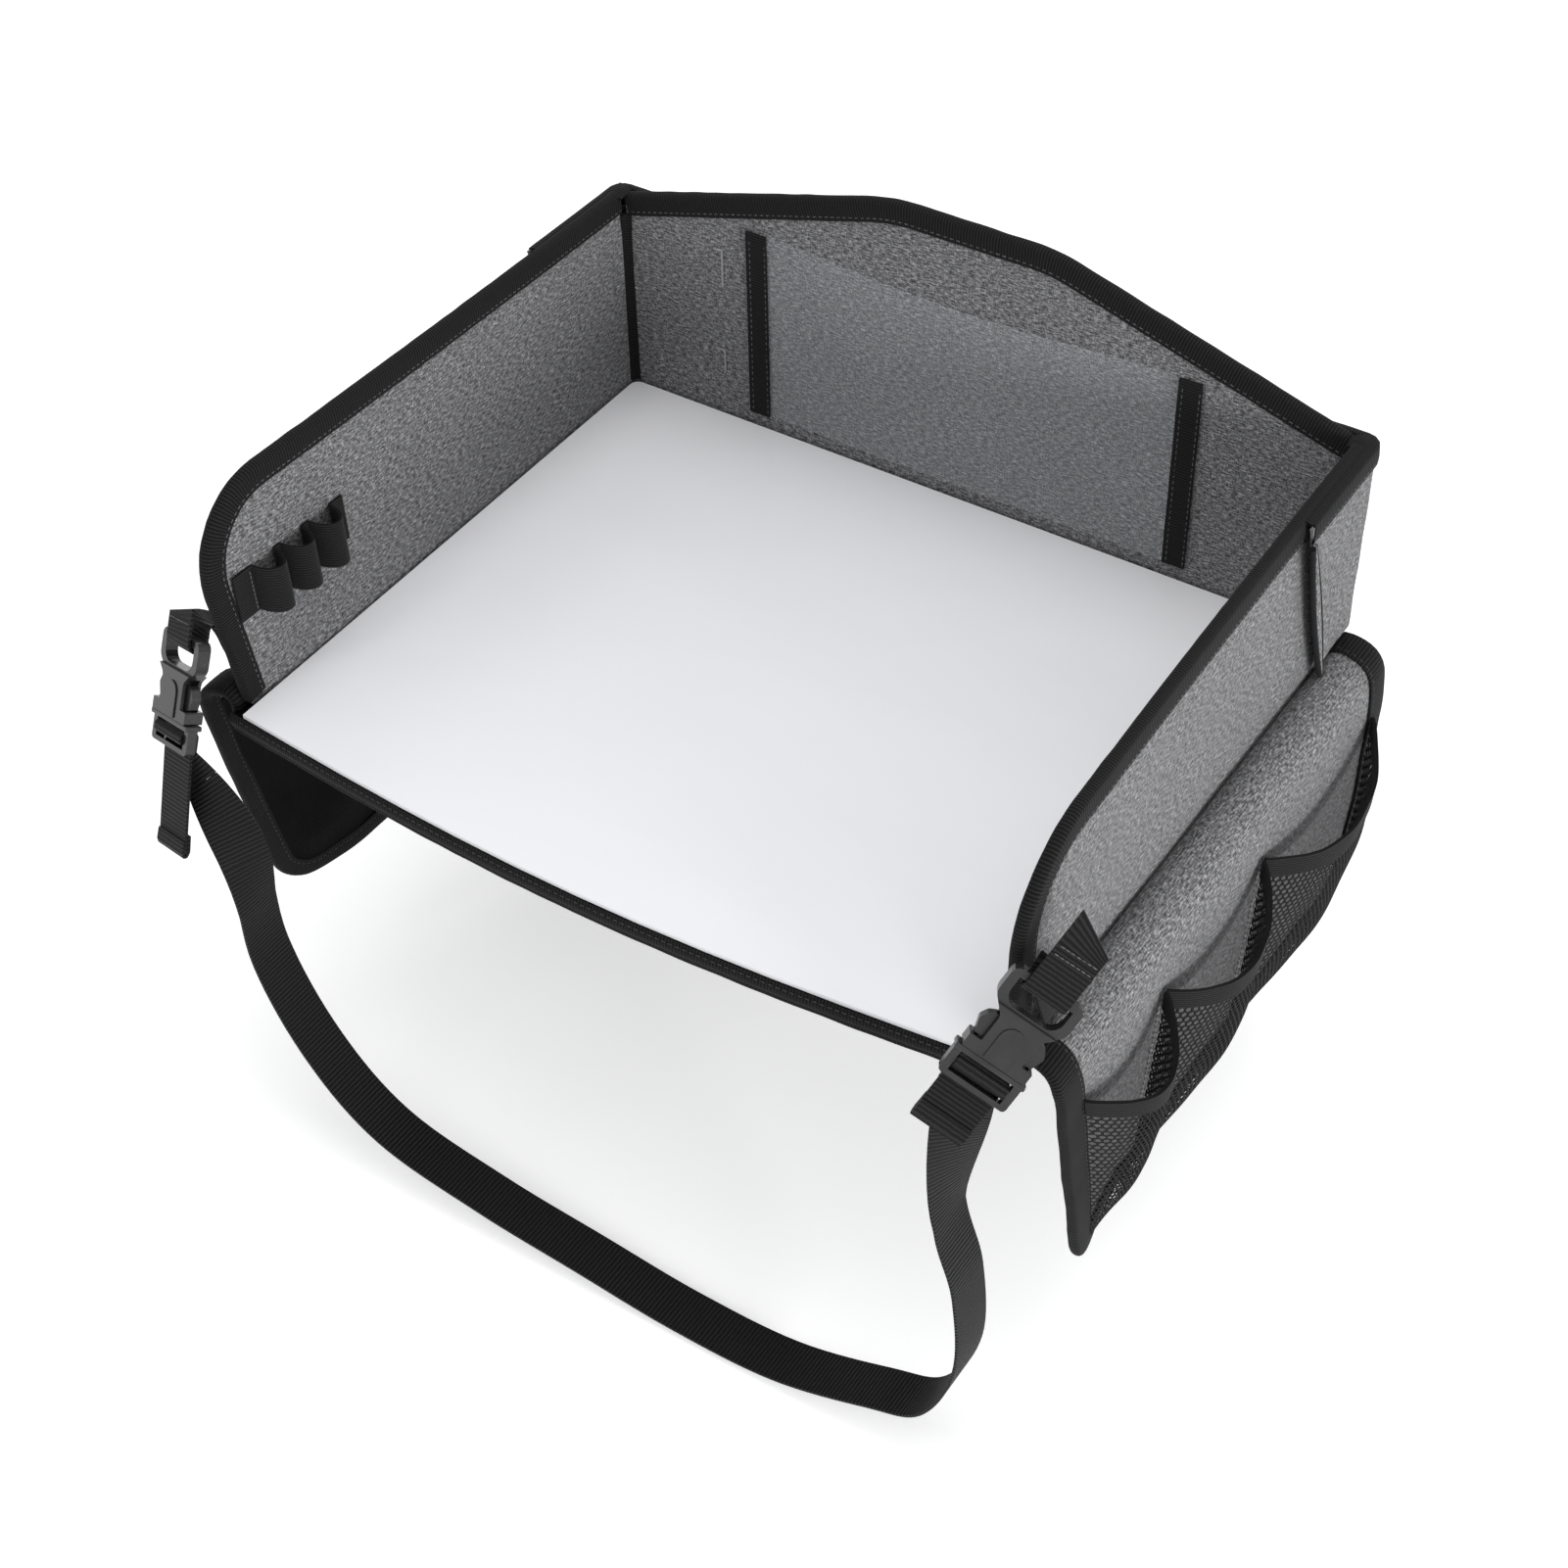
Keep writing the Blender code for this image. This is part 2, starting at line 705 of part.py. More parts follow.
def flap_outline(inset=0.0):
    """Return a flap's outline about its pivot."""
    radius = FLAP_CORNER_RADIUS - inset
    front = -FLAP_FRONT + inset
    back = FLAP_BACK - inset
    foot = -FLAP_HEIGHT + inset
    corners = [
        (front, -FLAP_TOP_GAP, 0),
        (front + FLAP_FOOT_SETBACK, foot, radius),
        (back, foot, radius),
        (back, -FLAP_TOP_GAP, 0),
    ]
    return rounded(corners, 6)


def make_flap(side, finishes):
    """Make a side flap on its pivot: panel, lining, tape and three net pockets."""
    sign = SIDES[side]
    hang = pivot(side + "_flap_pivot", (sign * FLAP_PIVOT_X, 0, FLAP_PIVOT_Z))
    stack = FLAP_PANEL_THICK + SEAT_GAP + FLAP_LINING_THICK
    outer = sign * (stack - FLAP_PANEL_THICK) / 2
    inner = -sign * (stack - FLAP_LINING_THICK) / 2
    seam = rod_mesh(side + "_flap_seam", -FLAP_FRONT, FLAP_BACK, FLAP_SEAM_RADIUS)
    smooth(seam)
    add(side + "_flap_seam", seam, finishes["cloth"], hang)
    mesh = plate_mesh(side + "_flap_panel", flap_outline(), FLAP_PANEL_THICK)
    add(side + "_flap_panel", mesh, finishes["cloth"], hang, (outer, 0, 0), SIDE_TURN)
    mesh = plate_mesh(side + "_flap_lining", flap_outline(FLAP_LINING_INSET), FLAP_LINING_THICK)
    add(side + "_flap_lining", mesh, finishes["lining"], hang, (inner, 0, 0), SIDE_TURN)
    section = tape_section(stack / 2, FLAP_TAPE_LIP)
    path = flap_outline()
    slope = FLAP_FOOT_SETBACK / FLAP_HEIGHT
    path[0] = (path[0][0] + slope * FLAP_TAPE_LIP * slope, path[0][1] - FLAP_TAPE_LIP * slope)
    mesh = swept_mesh(side + "_flap_binding", path, section)
    smooth(mesh)
    add(side + "_flap_binding", mesh, finishes["tape"], hang, (0, 0, 0), SIDE_TURN)
    make_pockets(side, sign, hang, stack / 2, finishes)


def pocket_spans():
    """Return each pocket's front and back ends along the flap."""
    front = -FLAP_FRONT + POCKET_SIDE_INSET
    room = FLAP_FRONT + FLAP_BACK - 2 * POCKET_SIDE_INSET
    room -= POCKET_GAP * (len(POCKET_WIDTH_SHARES) - 1)
    spans = []
    for share in POCKET_WIDTH_SHARES:
        spans.append((front, front + room * share))
        front += room * share + POCKET_GAP
    return spans


def pocket_foot(y):
    """Return the foot of the pockets at y, which rises round the flap's lower corners."""
    edge = min(y + FLAP_FRONT - FLAP_FOOT_SETBACK, FLAP_BACK - y)
    foot = -FLAP_HEIGHT + POCKET_FOOT_RISE
    if edge >= FLAP_CORNER_RADIUS:
        return foot
    radius = FLAP_CORNER_RADIUS - POCKET_FOOT_RISE
    side = FLAP_CORNER_RADIUS - edge
    return FLAP_CORNER_RADIUS - FLAP_HEIGHT - math.sqrt(max(radius**2 - side**2, 0))


def pocket_bulge(u, v):
    """Return how far a pocket stands off the flap, from its foot to its mouth."""
    side = math.sin(math.pi * u) ** POCKET_SIDE_POWER_SHARE
    rise = math.sin(math.pi / 2 * v**POCKET_RISE_POWER_SHARE)
    return POCKET_BULGE * side * rise


def strand_shares(holes):
    """Return the edges of strands and holes as shares of a net's side."""
    strand = NET_STRAND_SHARE / (holes + NET_STRAND_SHARE)
    hole = (1 - strand * (holes + 1)) / holes
    places = [0.0]
    for _ in range(holes):
        places += [places[-1] + strand, places[-1] + strand + hole]
    return [*places, 1.0]


def make_pockets(side, sign, hang, face, finishes):
    """Make the three net pockets and the elastic band along each mouth."""
    names = ("front", "middle", "rear")
    for name, (front, back), holes in zip(names, pocket_spans(), NET_HOLES_WIDE):
        setback = FLAP_FOOT_SETBACK if name == "front" else 0

        def mouth(u):
            return -POCKET_TOP - POCKET_DIP * math.sin(math.pi * u)

        def along(u, z, front=front, back=back, setback=setback):
            start = front - setback * z / FLAP_HEIGHT
            return start + (back - start) * u

        def net_point(u, v, along=along):
            foot = pocket_foot(along(u, -FLAP_HEIGHT))
            z = foot + (mouth(u) - POCKET_BAND_WIDTH - SEAT_GAP - foot) * v
            off = face + SEAT_GAP + NET_THICK / 2 + pocket_bulge(u, v)
            return (sign * off, along(u, z), z)

        def band_point(u, v, along=along):
            z = mouth(u) - POCKET_BAND_WIDTH * (1 - v)
            off = face + SEAT_GAP + POCKET_BAND_THICK / 2 + pocket_bulge(u, 1)
            return (sign * off, along(u, z), z)

        label = side + "_" + name + "_net"
        columns = strand_shares(holes)
        rows = strand_shares(NET_HOLES_HIGH)
        mesh = surface_mesh(label, columns, rows, net_point, lambda i, j: i % 2 and j % 2)
        thicken(add(label, mesh, finishes["net"], hang), NET_THICK)
        label = side + "_" + name + "_pocket_band"
        mesh = surface_mesh(label, shares(14), (0, 1), band_point)
        smooth(mesh, 60)
        thicken(add(label, mesh, finishes["elastic"], hang), POCKET_BAND_THICK)


def buckle_place(side):
    """Return the middle of a buckle's web bar and its turn about X, Y and Z."""
    x = SIDES[side] * (HALF_OUTER + BUCKLE_OUTWARD[side])
    y = FRONT_CORNER_Y - BUCKLE_FORWARD[side]
    pitch, yaw, roll = BUCKLE_TURN_SHARES[side]
    turn = [share * math.pi / 2 for share in (pitch, roll, yaw)]
    return (x, y, BUCKLE_HEIGHT[side]), turn


def buckle_frame(side):
    """Return the matrix of a buckle's own frame."""
    place, turn = buckle_place(side)
    return Matrix.Translation(place) @ Euler(turn, "YXZ").to_matrix().to_4x4()


def buckle_pivot(name, side, parent=None):
    """Add the empty that a socket turns on, at the middle of its web bar."""
    place, turn = buckle_place(side)
    return pivot(name, place, turn, "YXZ", parent)


def socket_outline():
    """Return the socket's hourglass outline."""
    top = SOCKET_END_BAR / 2
    ring = top - SOCKET_RING_LENGTH
    collar = MOUTH_Y + SOCKET_COLLAR_LENGTH
    wide = BUCKLE_WIDTH / 2
    waist = SOCKET_WAIST_WIDTH / 2
    neck = SOCKET_COLLAR_WIDTH / 2
    taper = (wide - waist) / 2
    return rounded(
        mirrored(
            [
                (wide, top, taper),
                (wide, ring + taper, taper * SOCKET_SHOULDER_SHARE),
                (waist, ring - taper, taper),
                (waist, collar, PLASTIC_EDGE),
                (neck, collar, PLASTIC_EDGE),
                (neck, MOUTH_Y, PLASTIC_EDGE),
            ]
        ),
        3,
    )


def ring_opening():
    """Return the outline of the socket's web opening: straight at the bar, then round."""
    half = WEB_WIDTH / 2 + RUNNING_GAP
    top = -SOCKET_END_BAR / 2
    round_end = RING_OPENING_DEPTH * RING_ROUND_SHARE
    return rounded(mirrored([(half, top, 0), (half, top - RING_OPENING_DEPTH, round_end)]), 6)


def make_socket(side, finishes):
    """Make a buckle's socket: web ring, waisted body with side windows, and collar."""
    bar = buckle_pivot(side + "_socket_bar", side)
    name = side + "_socket"
    mesh = plate_mesh(name, socket_outline(), BUCKLE_THICK)
    socket = add(name, mesh, finishes["plastic"], bar)
    round_edges(socket, PLASTIC_EDGE)
    wide = BUCKLE_WIDTH / 2 + OVERRUN
    ring_end = SOCKET_END_BAR / 2 - SOCKET_RING_LENGTH + PLASTIC_EDGE
    for face in (-1, 1):
        levels = sorted((face * SOCKET_RING_THICK / 2, face * (BUCKLE_THICK / 2 + OVERRUN)))
        low = (-wide, ring_end, levels[0])
        high = (wide, SOCKET_END_BAR / 2 + OVERRUN, levels[1])
        label = name + ("_rear_step" if face < 0 else "_front_step")
        combine(socket, cutter(label, block_mesh(label, low, high), bar))
    opening = plate_mesh(name + "_opening", ring_opening(), BUCKLE_THICK + 2 * OVERRUN)
    combine(socket, cutter(name + "_opening", opening, bar))
    inside = BUCKLE_THICK / 2 - SOCKET_SKIN
    half = SOCKET_COLLAR_WIDTH / 2 - SOCKET_SKIN
    end = -SOCKET_END_BAR / 2 - RING_OPENING_DEPTH - 2 * SOCKET_SKIN
    cavity = block_mesh(name + "_cavity", (-half, MOUTH_Y - OVERRUN, -inside), (half, end, inside))
    combine(socket, cutter(name + "_cavity", cavity, bar))
    tongue = rounded(
        mirrored(
            [
                (TONGUE_WIDTH / 2, MOUTH_Y + TONGUE_LENGTH, TONGUE_WIDTH / 2),
                (TONGUE_WIDTH / 2, MOUTH_Y + PLASTIC_EDGE, PLASTIC_EDGE),
            ]
        ),
        4,
    )
    mesh = plate_mesh(name + "_tongue", tongue, 2 * TONGUE_RISE)
    raised = cutter(name + "_tongue", mesh, bar, (0, 0, BUCKLE_THICK / 2))
    combine(socket, raised, "UNION")


def ladder_steps():
    """Return the Y of the ladder's edges: flange, slot, bar, slot, bar."""
    places = [MOUTH_Y - SEAT_GAP - PLUG_FLANGE_LENGTH]
    for step in (LADDER_SLOT, LADDER_BAR, LADDER_SLOT, LADDER_BAR):
        places.append(places[-1] - step)
    return places


def make_plug(side, finishes):
    """Make a buckle's plug: flange, ladder lock and guide prong."""
    bar = buckle_pivot(side + "_plug_slide", side)
    name = side + "_plug"
    steps = ladder_steps()
    wide = BUCKLE_WIDTH / 2
    thick = BUCKLE_THICK / 2 - PLASTIC_EDGE
    mesh = block_mesh(name, (-wide, steps[0], -thick), (wide, MOUTH_Y - SEAT_GAP, thick))
    plug = add(name, mesh, finishes["plastic"], bar)
    round_edges(plug, PLASTIC_EDGE)
    top = steps[0] + PLUG_FLANGE_LENGTH / 2
    corner = LADDER_BAR * LADDER_CORNER_SHARE
    rail = wide - PLASTIC_EDGE
    frame = rounded(mirrored([(rail, top, 0), (rail, steps[-1], corner)]), 4)
    mesh = plate_mesh(name + "_ladder", frame, LADDER_THICK)
    combine(plug, cutter(name + "_ladder", mesh, bar), "UNION")
    half = WEB_WIDTH / 2 + RUNNING_GAP
    through = LADDER_THICK / 2 + OVERRUN
    for label, high, low in (("inner", steps[0], steps[1]), ("outer", steps[2], steps[3])):
        label = name + "_" + label + "_slot"
        mesh = block_mesh(label, (-half, low, -through), (half, high, through))
        combine(plug, cutter(label, mesh, bar))
    deep = BUCKLE_THICK / 2 - SOCKET_SKIN - RUNNING_GAP
    tip = MOUTH_Y + PRONG_LENGTH
    low = (-PRONG_WIDTH / 2, top, -deep)
    mesh = block_mesh(name + "_prong", low, (PRONG_WIDTH / 2, tip, deep))
    combine(plug, cutter(name + "_prong", mesh, bar), "UNION")
    for hand, sign in (("inner", -1), ("outer", 1)):
        make_arm(side, hand, sign, bar, finishes)


def arm_root():
    """Return the place of an arm's root in the buckle's frame, for the outer arm."""
    x = SOCKET_COLLAR_WIDTH / 2 - SOCKET_SKIN - RUNNING_GAP - ARM_STEM
    return (x, MOUTH_Y - SEAT_GAP + ARM_ROOT_GAP)


def make_arm(side, hand, sign, bar, finishes):
    """Make one squeeze arm, with its hook behind the socket's collar and its pad outside."""
    x, y = arm_root()
    root = pivot(side + "_" + hand + "_arm_root", (sign * x, y, 0), parent=bar)
    stem = ARM_STEM / 2
    hook_y = SOCKET_COLLAR_LENGTH + RUNNING_GAP
    hook_x = stem + RUNNING_GAP + ARM_HOOK
    pad_x = hook_x + ARM_BULGE
    outline = rounded(
        [
            (sign * -stem, 0, 0),
            (sign * stem, 0, 0),
            (sign * stem, hook_y, 0),
            (sign * hook_x, hook_y, PLASTIC_EDGE),
            (sign * pad_x, (hook_y + ARM_LENGTH) / 2, ARM_STEM),
            (sign * hook_x, ARM_LENGTH - ARM_STEM, ARM_STEM),
            (sign * -stem, ARM_LENGTH, ARM_STEM / 2),
        ],
        3,
    )
    name = side + "_" + hand + "_arm"
    mesh = plate_mesh(name, outline, ARM_THICK)
    round_edges(add(name, mesh, finishes["plastic"], root), PLASTIC_EDGE / 2, 1)


def ribbon_mesh(name, places, sideways, width):
    """Make a flat ribbon along a line, with its sideways direction at each point."""

    def point(u, i):
        return places[i] + sideways[i] * width * (u - 0.5)

    return surface_mesh(name, (0, 1), range(len(places)), point)


def square_to(sideways, places):
    """Turn each sideways direction square to the line it belongs to."""
    turned = []
    for i, direction in enumerate(sideways):
        along = places[min(i + 1, len(places) - 1)] - places[max(i - 1, 0)]
        along.normalize()
        turned.append((direction - along * direction.dot(along)).normalized())
    return turned


def smooth_line(knots, steps):
    """Return a smooth curve through the knots."""
    line = []
    ends = [knots[0], *knots, knots[-1]]
    for a, b, c, d in zip(ends, ends[1:], ends[2:], ends[3:]):
        for k in range(steps):
            t = k / steps
            bend = a * 2 - b * 5 + c * 4 - d
            twist = b * 3 - a - c * 3 + d
            line.append((b * 2 + (c - a) * t + bend * t**2 + twist * t**3) / 2)
    line.append(knots[-1])
    return line


def lock_path():
    """Return the web's way through a ladder lock, tail first, as (Y, Z) in the buckle's frame."""
    steps = ladder_steps()
    room = WEB_THICK / 2 + SEAT_GAP
    over = LADDER_THICK / 2 + room
    under = over + WEB_THICK + SEAT_GAP
    inner = steps[1] + room
    outer = steps[2] - room
    turn = WEB_THICK * WEB_BEND_SHARE
    exit_y = steps[-1] - LADDER_BAR
    corners = [
        (steps[-1] - STRAP_TAIL, -over, 0),
        (outer, -over, turn),
        (outer, over, turn),
        (inner, over, turn),
        (inner, -under, turn),
        (exit_y, -under, 0),
    ]
    return rounded(corners, 2)


def lock_points(side):
    """Return the web's way through a ladder lock in the row's frame, tail first."""
    frame = buckle_frame(side)
    places = [frame @ Vector((0, y, z)) for y, z in lock_path()]
    across = (frame.to_3x3() @ Vector((1, 0, 0))).normalized()
    return places, [across] * len(places)


def make_strap(finishes):
    """Make the strap: a tail through each ladder lock and the loop that hangs between them."""
    left, left_across = lock_points("left")
    right, right_across = lock_points("right")
    knots = [left[-1]]
    for x_share, z_share in STRAP_ROUTE_SHARES:
        knots.append(Vector((HALF_CLEAR * x_share, -STRAP_PLANE, STRAP_DROP * z_share)))
    knots.append(right[-1])
    loop = smooth_line(knots, STRAP_POINTS_PER_STEP)
    blend = STRAP_TWIST_STEPS * STRAP_POINTS_PER_STEP
    flat = Vector((0, 1, 0))
    across = []
    for i in range(len(loop)):
        near_left = max(0, 1 - i / blend)
        near_right = max(0, 1 - (len(loop) - 1 - i) / blend)
        middle = 1 - near_left - near_right
        across.append(flat * middle + left_across[0] * near_left + right_across[0] * near_right)
    places = [*left[:-1], *loop, *reversed(right[:-1])]
    sideways = [*left_across[:-1], *across, *right_across[:-1]]
    mesh = ribbon_mesh("strap", places, square_to(sideways, places), WEB_WIDTH)
    smooth(mesh, 60)
    thicken(add("strap", mesh, finishes["web"]), WEB_THICK)


def make_tab(side, finishes):
    """Make the web tab that holds a socket: sewn in the crease, folded round the bar."""
    sign = SIDES[side]
    frame = buckle_frame(side)
    across = (frame.to_3x3() @ Vector((1, 0, 0))).normalized()
    fold = math.hypot(SOCKET_END_BAR, SOCKET_RING_THICK) / 2 + SEAT_GAP + WEB_THICK / 2
    turn = [(0, -fold * math.sin(math.pi * s), -fold * math.cos(math.pi * s)) for s in shares(8)]
    loop = [frame @ Vector(p) for p in turn]
    under = [frame @ Vector((0, y, -fold)) for y in (TAB_LENGTH / 2, SOCKET_END_BAR)]
    end = frame @ Vector((0, TAB_LENGTH, fold))
    crease_x = sign * (HALF_OUTER + SEAT_GAP + TAPE_THICK + RUNNING_GAP + WEB_THICK / 2)
    outer_face = TAPE_THICK + RUNNING_GAP + WEB_THICK
    crease_z = gusset_height(outer_face / GUSSET_REACH) + GUSSET_THICK
    foot = Vector((crease_x, TAB_SEWN_Y, crease_z))
    rise = foot + Vector((sign * TAB_CLEARING, 0, TAB_RISE))
    leg = smooth_line([foot, rise, (rise + under[0]) / 2, *under, loop[0]], 4)
    along_wall = Vector((0, 1, 0)) if across.y >= 0 else Vector((0, -1, 0))
    count = len(leg) - 1
    sideways = []
    for i in range(len(leg)):
        share = (i / count - TAB_TWIST_SHARES[0]) / (TAB_TWIST_SHARES[1] - TAB_TWIST_SHARES[0])
        share = max(0, min(1, share))
        sideways.append(along_wall * (1 - share) + across * share)
    places = [*leg[:-1], *loop, end]
    sideways = [*sideways[:-1], *[across] * (len(loop) + 1)]
    mesh = ribbon_mesh(side + "_web_tab", places, square_to(sideways, places), WEB_WIDTH)
    slant = (frame.to_3x3() @ Vector((0, 1, 0))).normalized() * TAB_CUT
    mesh.vertices[-1].co += slant / 2
    mesh.vertices[-2].co -= slant / 2
    smooth(mesh, 60)
    thicken(add(side + "_web_tab", mesh, finishes["web"]), WEB_THICK)


def make_finishes():
    """Make the materials, one for each kind of surface."""
    return {
        "cloth": material("grey_melange_cloth", (0.23, 0.23, 0.24), 0.9),
        "tape": material("black_binding_tape", (0.012, 0.012, 0.013), 0.8),
        "lining": material("black_nylon_lining", (0.014, 0.014, 0.016), 0.45),
        "elastic": material("black_elastic", (0.016, 0.016, 0.017), 0.85),
        "net": material("black_net", (0.012, 0.012, 0.013), 0.7),
        "web": material("black_webbing", (0.013, 0.013, 0.014), 0.65),
        "plastic": material("black_plastic", (0.030, 0.031, 0.033), 0.38),
        "board": material("white_wipe_clean_board", (0.80, 0.80, 0.82), 0.30),
        "film": material("clear_window_film", (0.85, 0.88, 0.90), 0.08, alpha=0.25),
        "stiffener": material("stiffener_board", (0.55, 0.55, 0.52), 0.7),
    }


def main():
    """Build the whole tray."""
    global model, guides
    clear_scene()
    model = new_collection("travel_tray")
    guides = new_collection("cutters")
    finishes = make_finishes()
    make_base(finishes)
    make_back_wall(finishes)
    for side in SIDES:
        make_side_wall(side, finishes)
        make_corner_gusset(side, finishes)
        make_flap_gusset(side, finishes)
        make_flap(side, finishes)
        make_tab(side, finishes)
        make_socket(side, finishes)
        make_plug(side, finishes)
    make_strap(finishes)


main()
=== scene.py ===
"""Looks of the travel tray: cloth, tape, net, webbing, plastic, board, film, light and camera.

Lengths are metres in the frame's own axes: X right, Y away from the child, Z up.
"""

import json
import math

import bmesh
import bpy
import numpy as np
from mathutils import Euler, Matrix, Vector, noise

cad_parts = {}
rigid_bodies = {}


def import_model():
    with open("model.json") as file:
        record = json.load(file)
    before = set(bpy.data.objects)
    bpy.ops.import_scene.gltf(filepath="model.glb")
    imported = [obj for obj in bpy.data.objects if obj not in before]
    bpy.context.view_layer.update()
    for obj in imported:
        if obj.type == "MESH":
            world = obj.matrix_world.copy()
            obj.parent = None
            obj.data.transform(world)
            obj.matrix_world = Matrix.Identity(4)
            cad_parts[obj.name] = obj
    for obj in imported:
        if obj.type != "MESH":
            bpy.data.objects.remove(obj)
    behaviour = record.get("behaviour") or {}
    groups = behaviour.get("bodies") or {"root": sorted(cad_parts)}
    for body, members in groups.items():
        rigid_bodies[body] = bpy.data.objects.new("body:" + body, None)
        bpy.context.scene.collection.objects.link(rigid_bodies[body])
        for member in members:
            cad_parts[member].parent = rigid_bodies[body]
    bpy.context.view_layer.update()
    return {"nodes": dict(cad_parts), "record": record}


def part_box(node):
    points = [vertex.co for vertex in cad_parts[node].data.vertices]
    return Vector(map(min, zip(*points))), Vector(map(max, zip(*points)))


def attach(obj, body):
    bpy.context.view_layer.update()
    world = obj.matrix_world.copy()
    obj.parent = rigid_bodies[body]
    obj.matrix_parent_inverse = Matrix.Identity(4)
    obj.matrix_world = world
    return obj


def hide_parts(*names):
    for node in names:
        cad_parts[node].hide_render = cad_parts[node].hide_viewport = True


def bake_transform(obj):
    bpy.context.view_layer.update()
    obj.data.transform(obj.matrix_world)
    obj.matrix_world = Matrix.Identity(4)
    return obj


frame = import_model()

# Sizes that the frame gives
BOARD_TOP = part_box("drawing_board")[1].z
CASING_LOW, CASING_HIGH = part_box("base_casing")
WALL_LOW, WALL_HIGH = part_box("right_wall_cover")
BACK_LOW, BACK_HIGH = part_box("back_wall_cover")
FLAP_LOW, FLAP_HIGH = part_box("right_flap_panel")
FLOOR_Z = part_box("strap")[0].z
HALF_CLEAR = WALL_LOW.x
HALF_OUTER = WALL_HIGH.x
WALL_THICK = WALL_HIGH.x - WALL_LOW.x
WALL_FOOT = WALL_LOW.z
WALL_TOP = WALL_HIGH.z
BACK_FACE = BACK_LOW.y
BACK_OUTER = BACK_HIGH.y
BACK_HALF = BACK_HIGH.x
FLAP_Z = (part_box("right_flap_seam")[0].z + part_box("right_flap_seam")[1].z) / 2

# Shapes that match the solids
FRONT_BOW = 0.014
FRONT_CORNER_Y = CASING_LOW.y + FRONT_BOW
WALL_LEAN = 0.013
WALL_CORNER_RADIUS = 0.044
SHOULDER_DROP = 0.0475
PLATEAU = 0.090
GABLE_RADIUS = 0.090
FLAP_SETBACK = 0.018
FLAP_CORNER_RADIUS = 0.038
SPLAY_BACK = 0.0006
SPLAY_FRONT = 0.0090
WALL_TAPE_LIP = 0.0112
WALL_TAPE_INNER_LIP = 0.0098
FLAP_TAPE_LIP = 0.0150
FLAP_TAPE_INNER_LIP = 0.0080
LINING_DROP = 0.006
BACK_END_GAP = 0.0004
SIDE_END_GAP = 0.0024

# Cloth, tape and thread
TAPE_THICK = 0.0009
TAPE_SWELL, TAPE_RIPPLE = 0.00035, 0.00025
EDGE_HALF = 0.0024
SWELL_REACH, PUCKER, DENT = 0.012, 0.00035, 0.0005
STITCH_PITCH = 0.0036
STITCH_LENGTH = 0.0026
STITCH_RADIUS = 0.00030
STITCH_INSET = 0.0022
STITCH_SIDES = 5
STITCH_RINGS = ((-0.62, 0.8), (0.0, 1.0), (0.62, 0.8))

# Pen band, tablet window, tacks and back corners
PEN_BAND_LOW, PEN_BAND_WIDTH = 0.045, 0.025
PEN_LOOP_START, PEN_LOOP_GAP, PEN_TACK_GAP = 0.013, 0.0045, 0.0022
PEN_LOOP_WIDE, PEN_LOOP_RISE = 0.0155, 0.0125
FILM_TUCK, FILM_BELLY = 0.004, 0.0066
TACK_X, TACK_HALF, TICK_LONG = -0.1425, 0.0005, 0.0050
TACK_HEIGHTS = ((0.090, 0.112), (0.037, 0.051))
CORNER_OFF = WALL_THICK / 2 + 0.0023
CORNER_HALF, CORNER_ROUND, LEAF_REACH = 0.0008, 0.0065, 0.022
FOLD_STAND, INNER_FOLD = 0.0036, 0.0036

SIDES = {"left": -1, "right": 1}


def rounded(points, steps=8):
    """Return an outline whose corners (u, v, radius) are arcs."""
    outline = []
    count = len(points)
    for i, (u, v, radius) in enumerate(points):
        corner = Vector((u, v))
        before = Vector(points[i - 1][:2]) - corner
        after = Vector(points[(i + 1) % count][:2]) - corner
        if radius == 0:
            outline.append(tuple(corner))
            continue
        half = before.angle(after) / 2
        reach = min(radius / math.tan(half), before.length * 0.49, after.length * 0.49)
        radius = reach * math.tan(half)
        way = (before.normalized() + after.normalized()).normalized()
        middle = corner + way * (radius / math.sin(half))
        first = corner + before.normalized() * reach - middle
        last = corner + after.normalized() * reach - middle
        sweep = first.angle_signed(last)
        for k in range(steps + 1):
            spoke = first.copy()
            spoke.rotate(Matrix.Rotation(-sweep * k / steps, 2))
            outline.append(tuple(middle + spoke))
    return outline


def run(points):
    """Return how far along a line each of its points lies."""
    return np.concatenate([[0], np.cumsum(np.linalg.norm(np.diff(points, axis=0), axis=1))])


def spaced(path, pitch, *others):
    """Return a path, and other values along it, with even steps of about a pitch."""
    path = np.array(path, float)
    along = run(path)
    at = np.linspace(0, along[-1], max(2, int(round(along[-1] / pitch)) + 1))
    found = [np.stack([np.interp(at, along, column) for column in np.array(line, float).T], 1)
             for line in (path, *others)]
    return found if others else found[0]


def unit(ways):
    """Return directions of length 1."""
    return ways / np.maximum(np.linalg.norm(ways, axis=-1, keepdims=True), 1e-12)


def pairs(u, v):
    """Return points (u, v) from two rows of values, or from a row and one value."""
    return np.stack(np.broadcast_arrays(u, v), 1).astype(float)


def smooth(share):
    """Return a share eased at both ends."""
    return share * share * (3 - 2 * share)


def even(high, low):
    """Return the two offsets of a panel whose faces are level."""
    return lambda points, far: (np.full(len(points), high), np.full(len(points), low))


def grain(points, scale, seed=0.0):
    """Return smooth noise from -1 to 1 at each point."""
    flat = np.asarray(points, float).reshape(-1, np.shape(points)[-1])
    pad = np.zeros((len(flat), 3))
    pad[:, : flat.shape[1]] = flat
    found = [noise.noise(Vector(p * scale) + Vector((seed, seed, seed))) for p in pad]
    return np.array(found).reshape(np.shape(points)[:-1])


def add_object(name, data):
    """Link a new object to the scene."""
    thing = bpy.data.objects.new(name, data)
    bpy.context.scene.collection.objects.link(thing)
    return thing


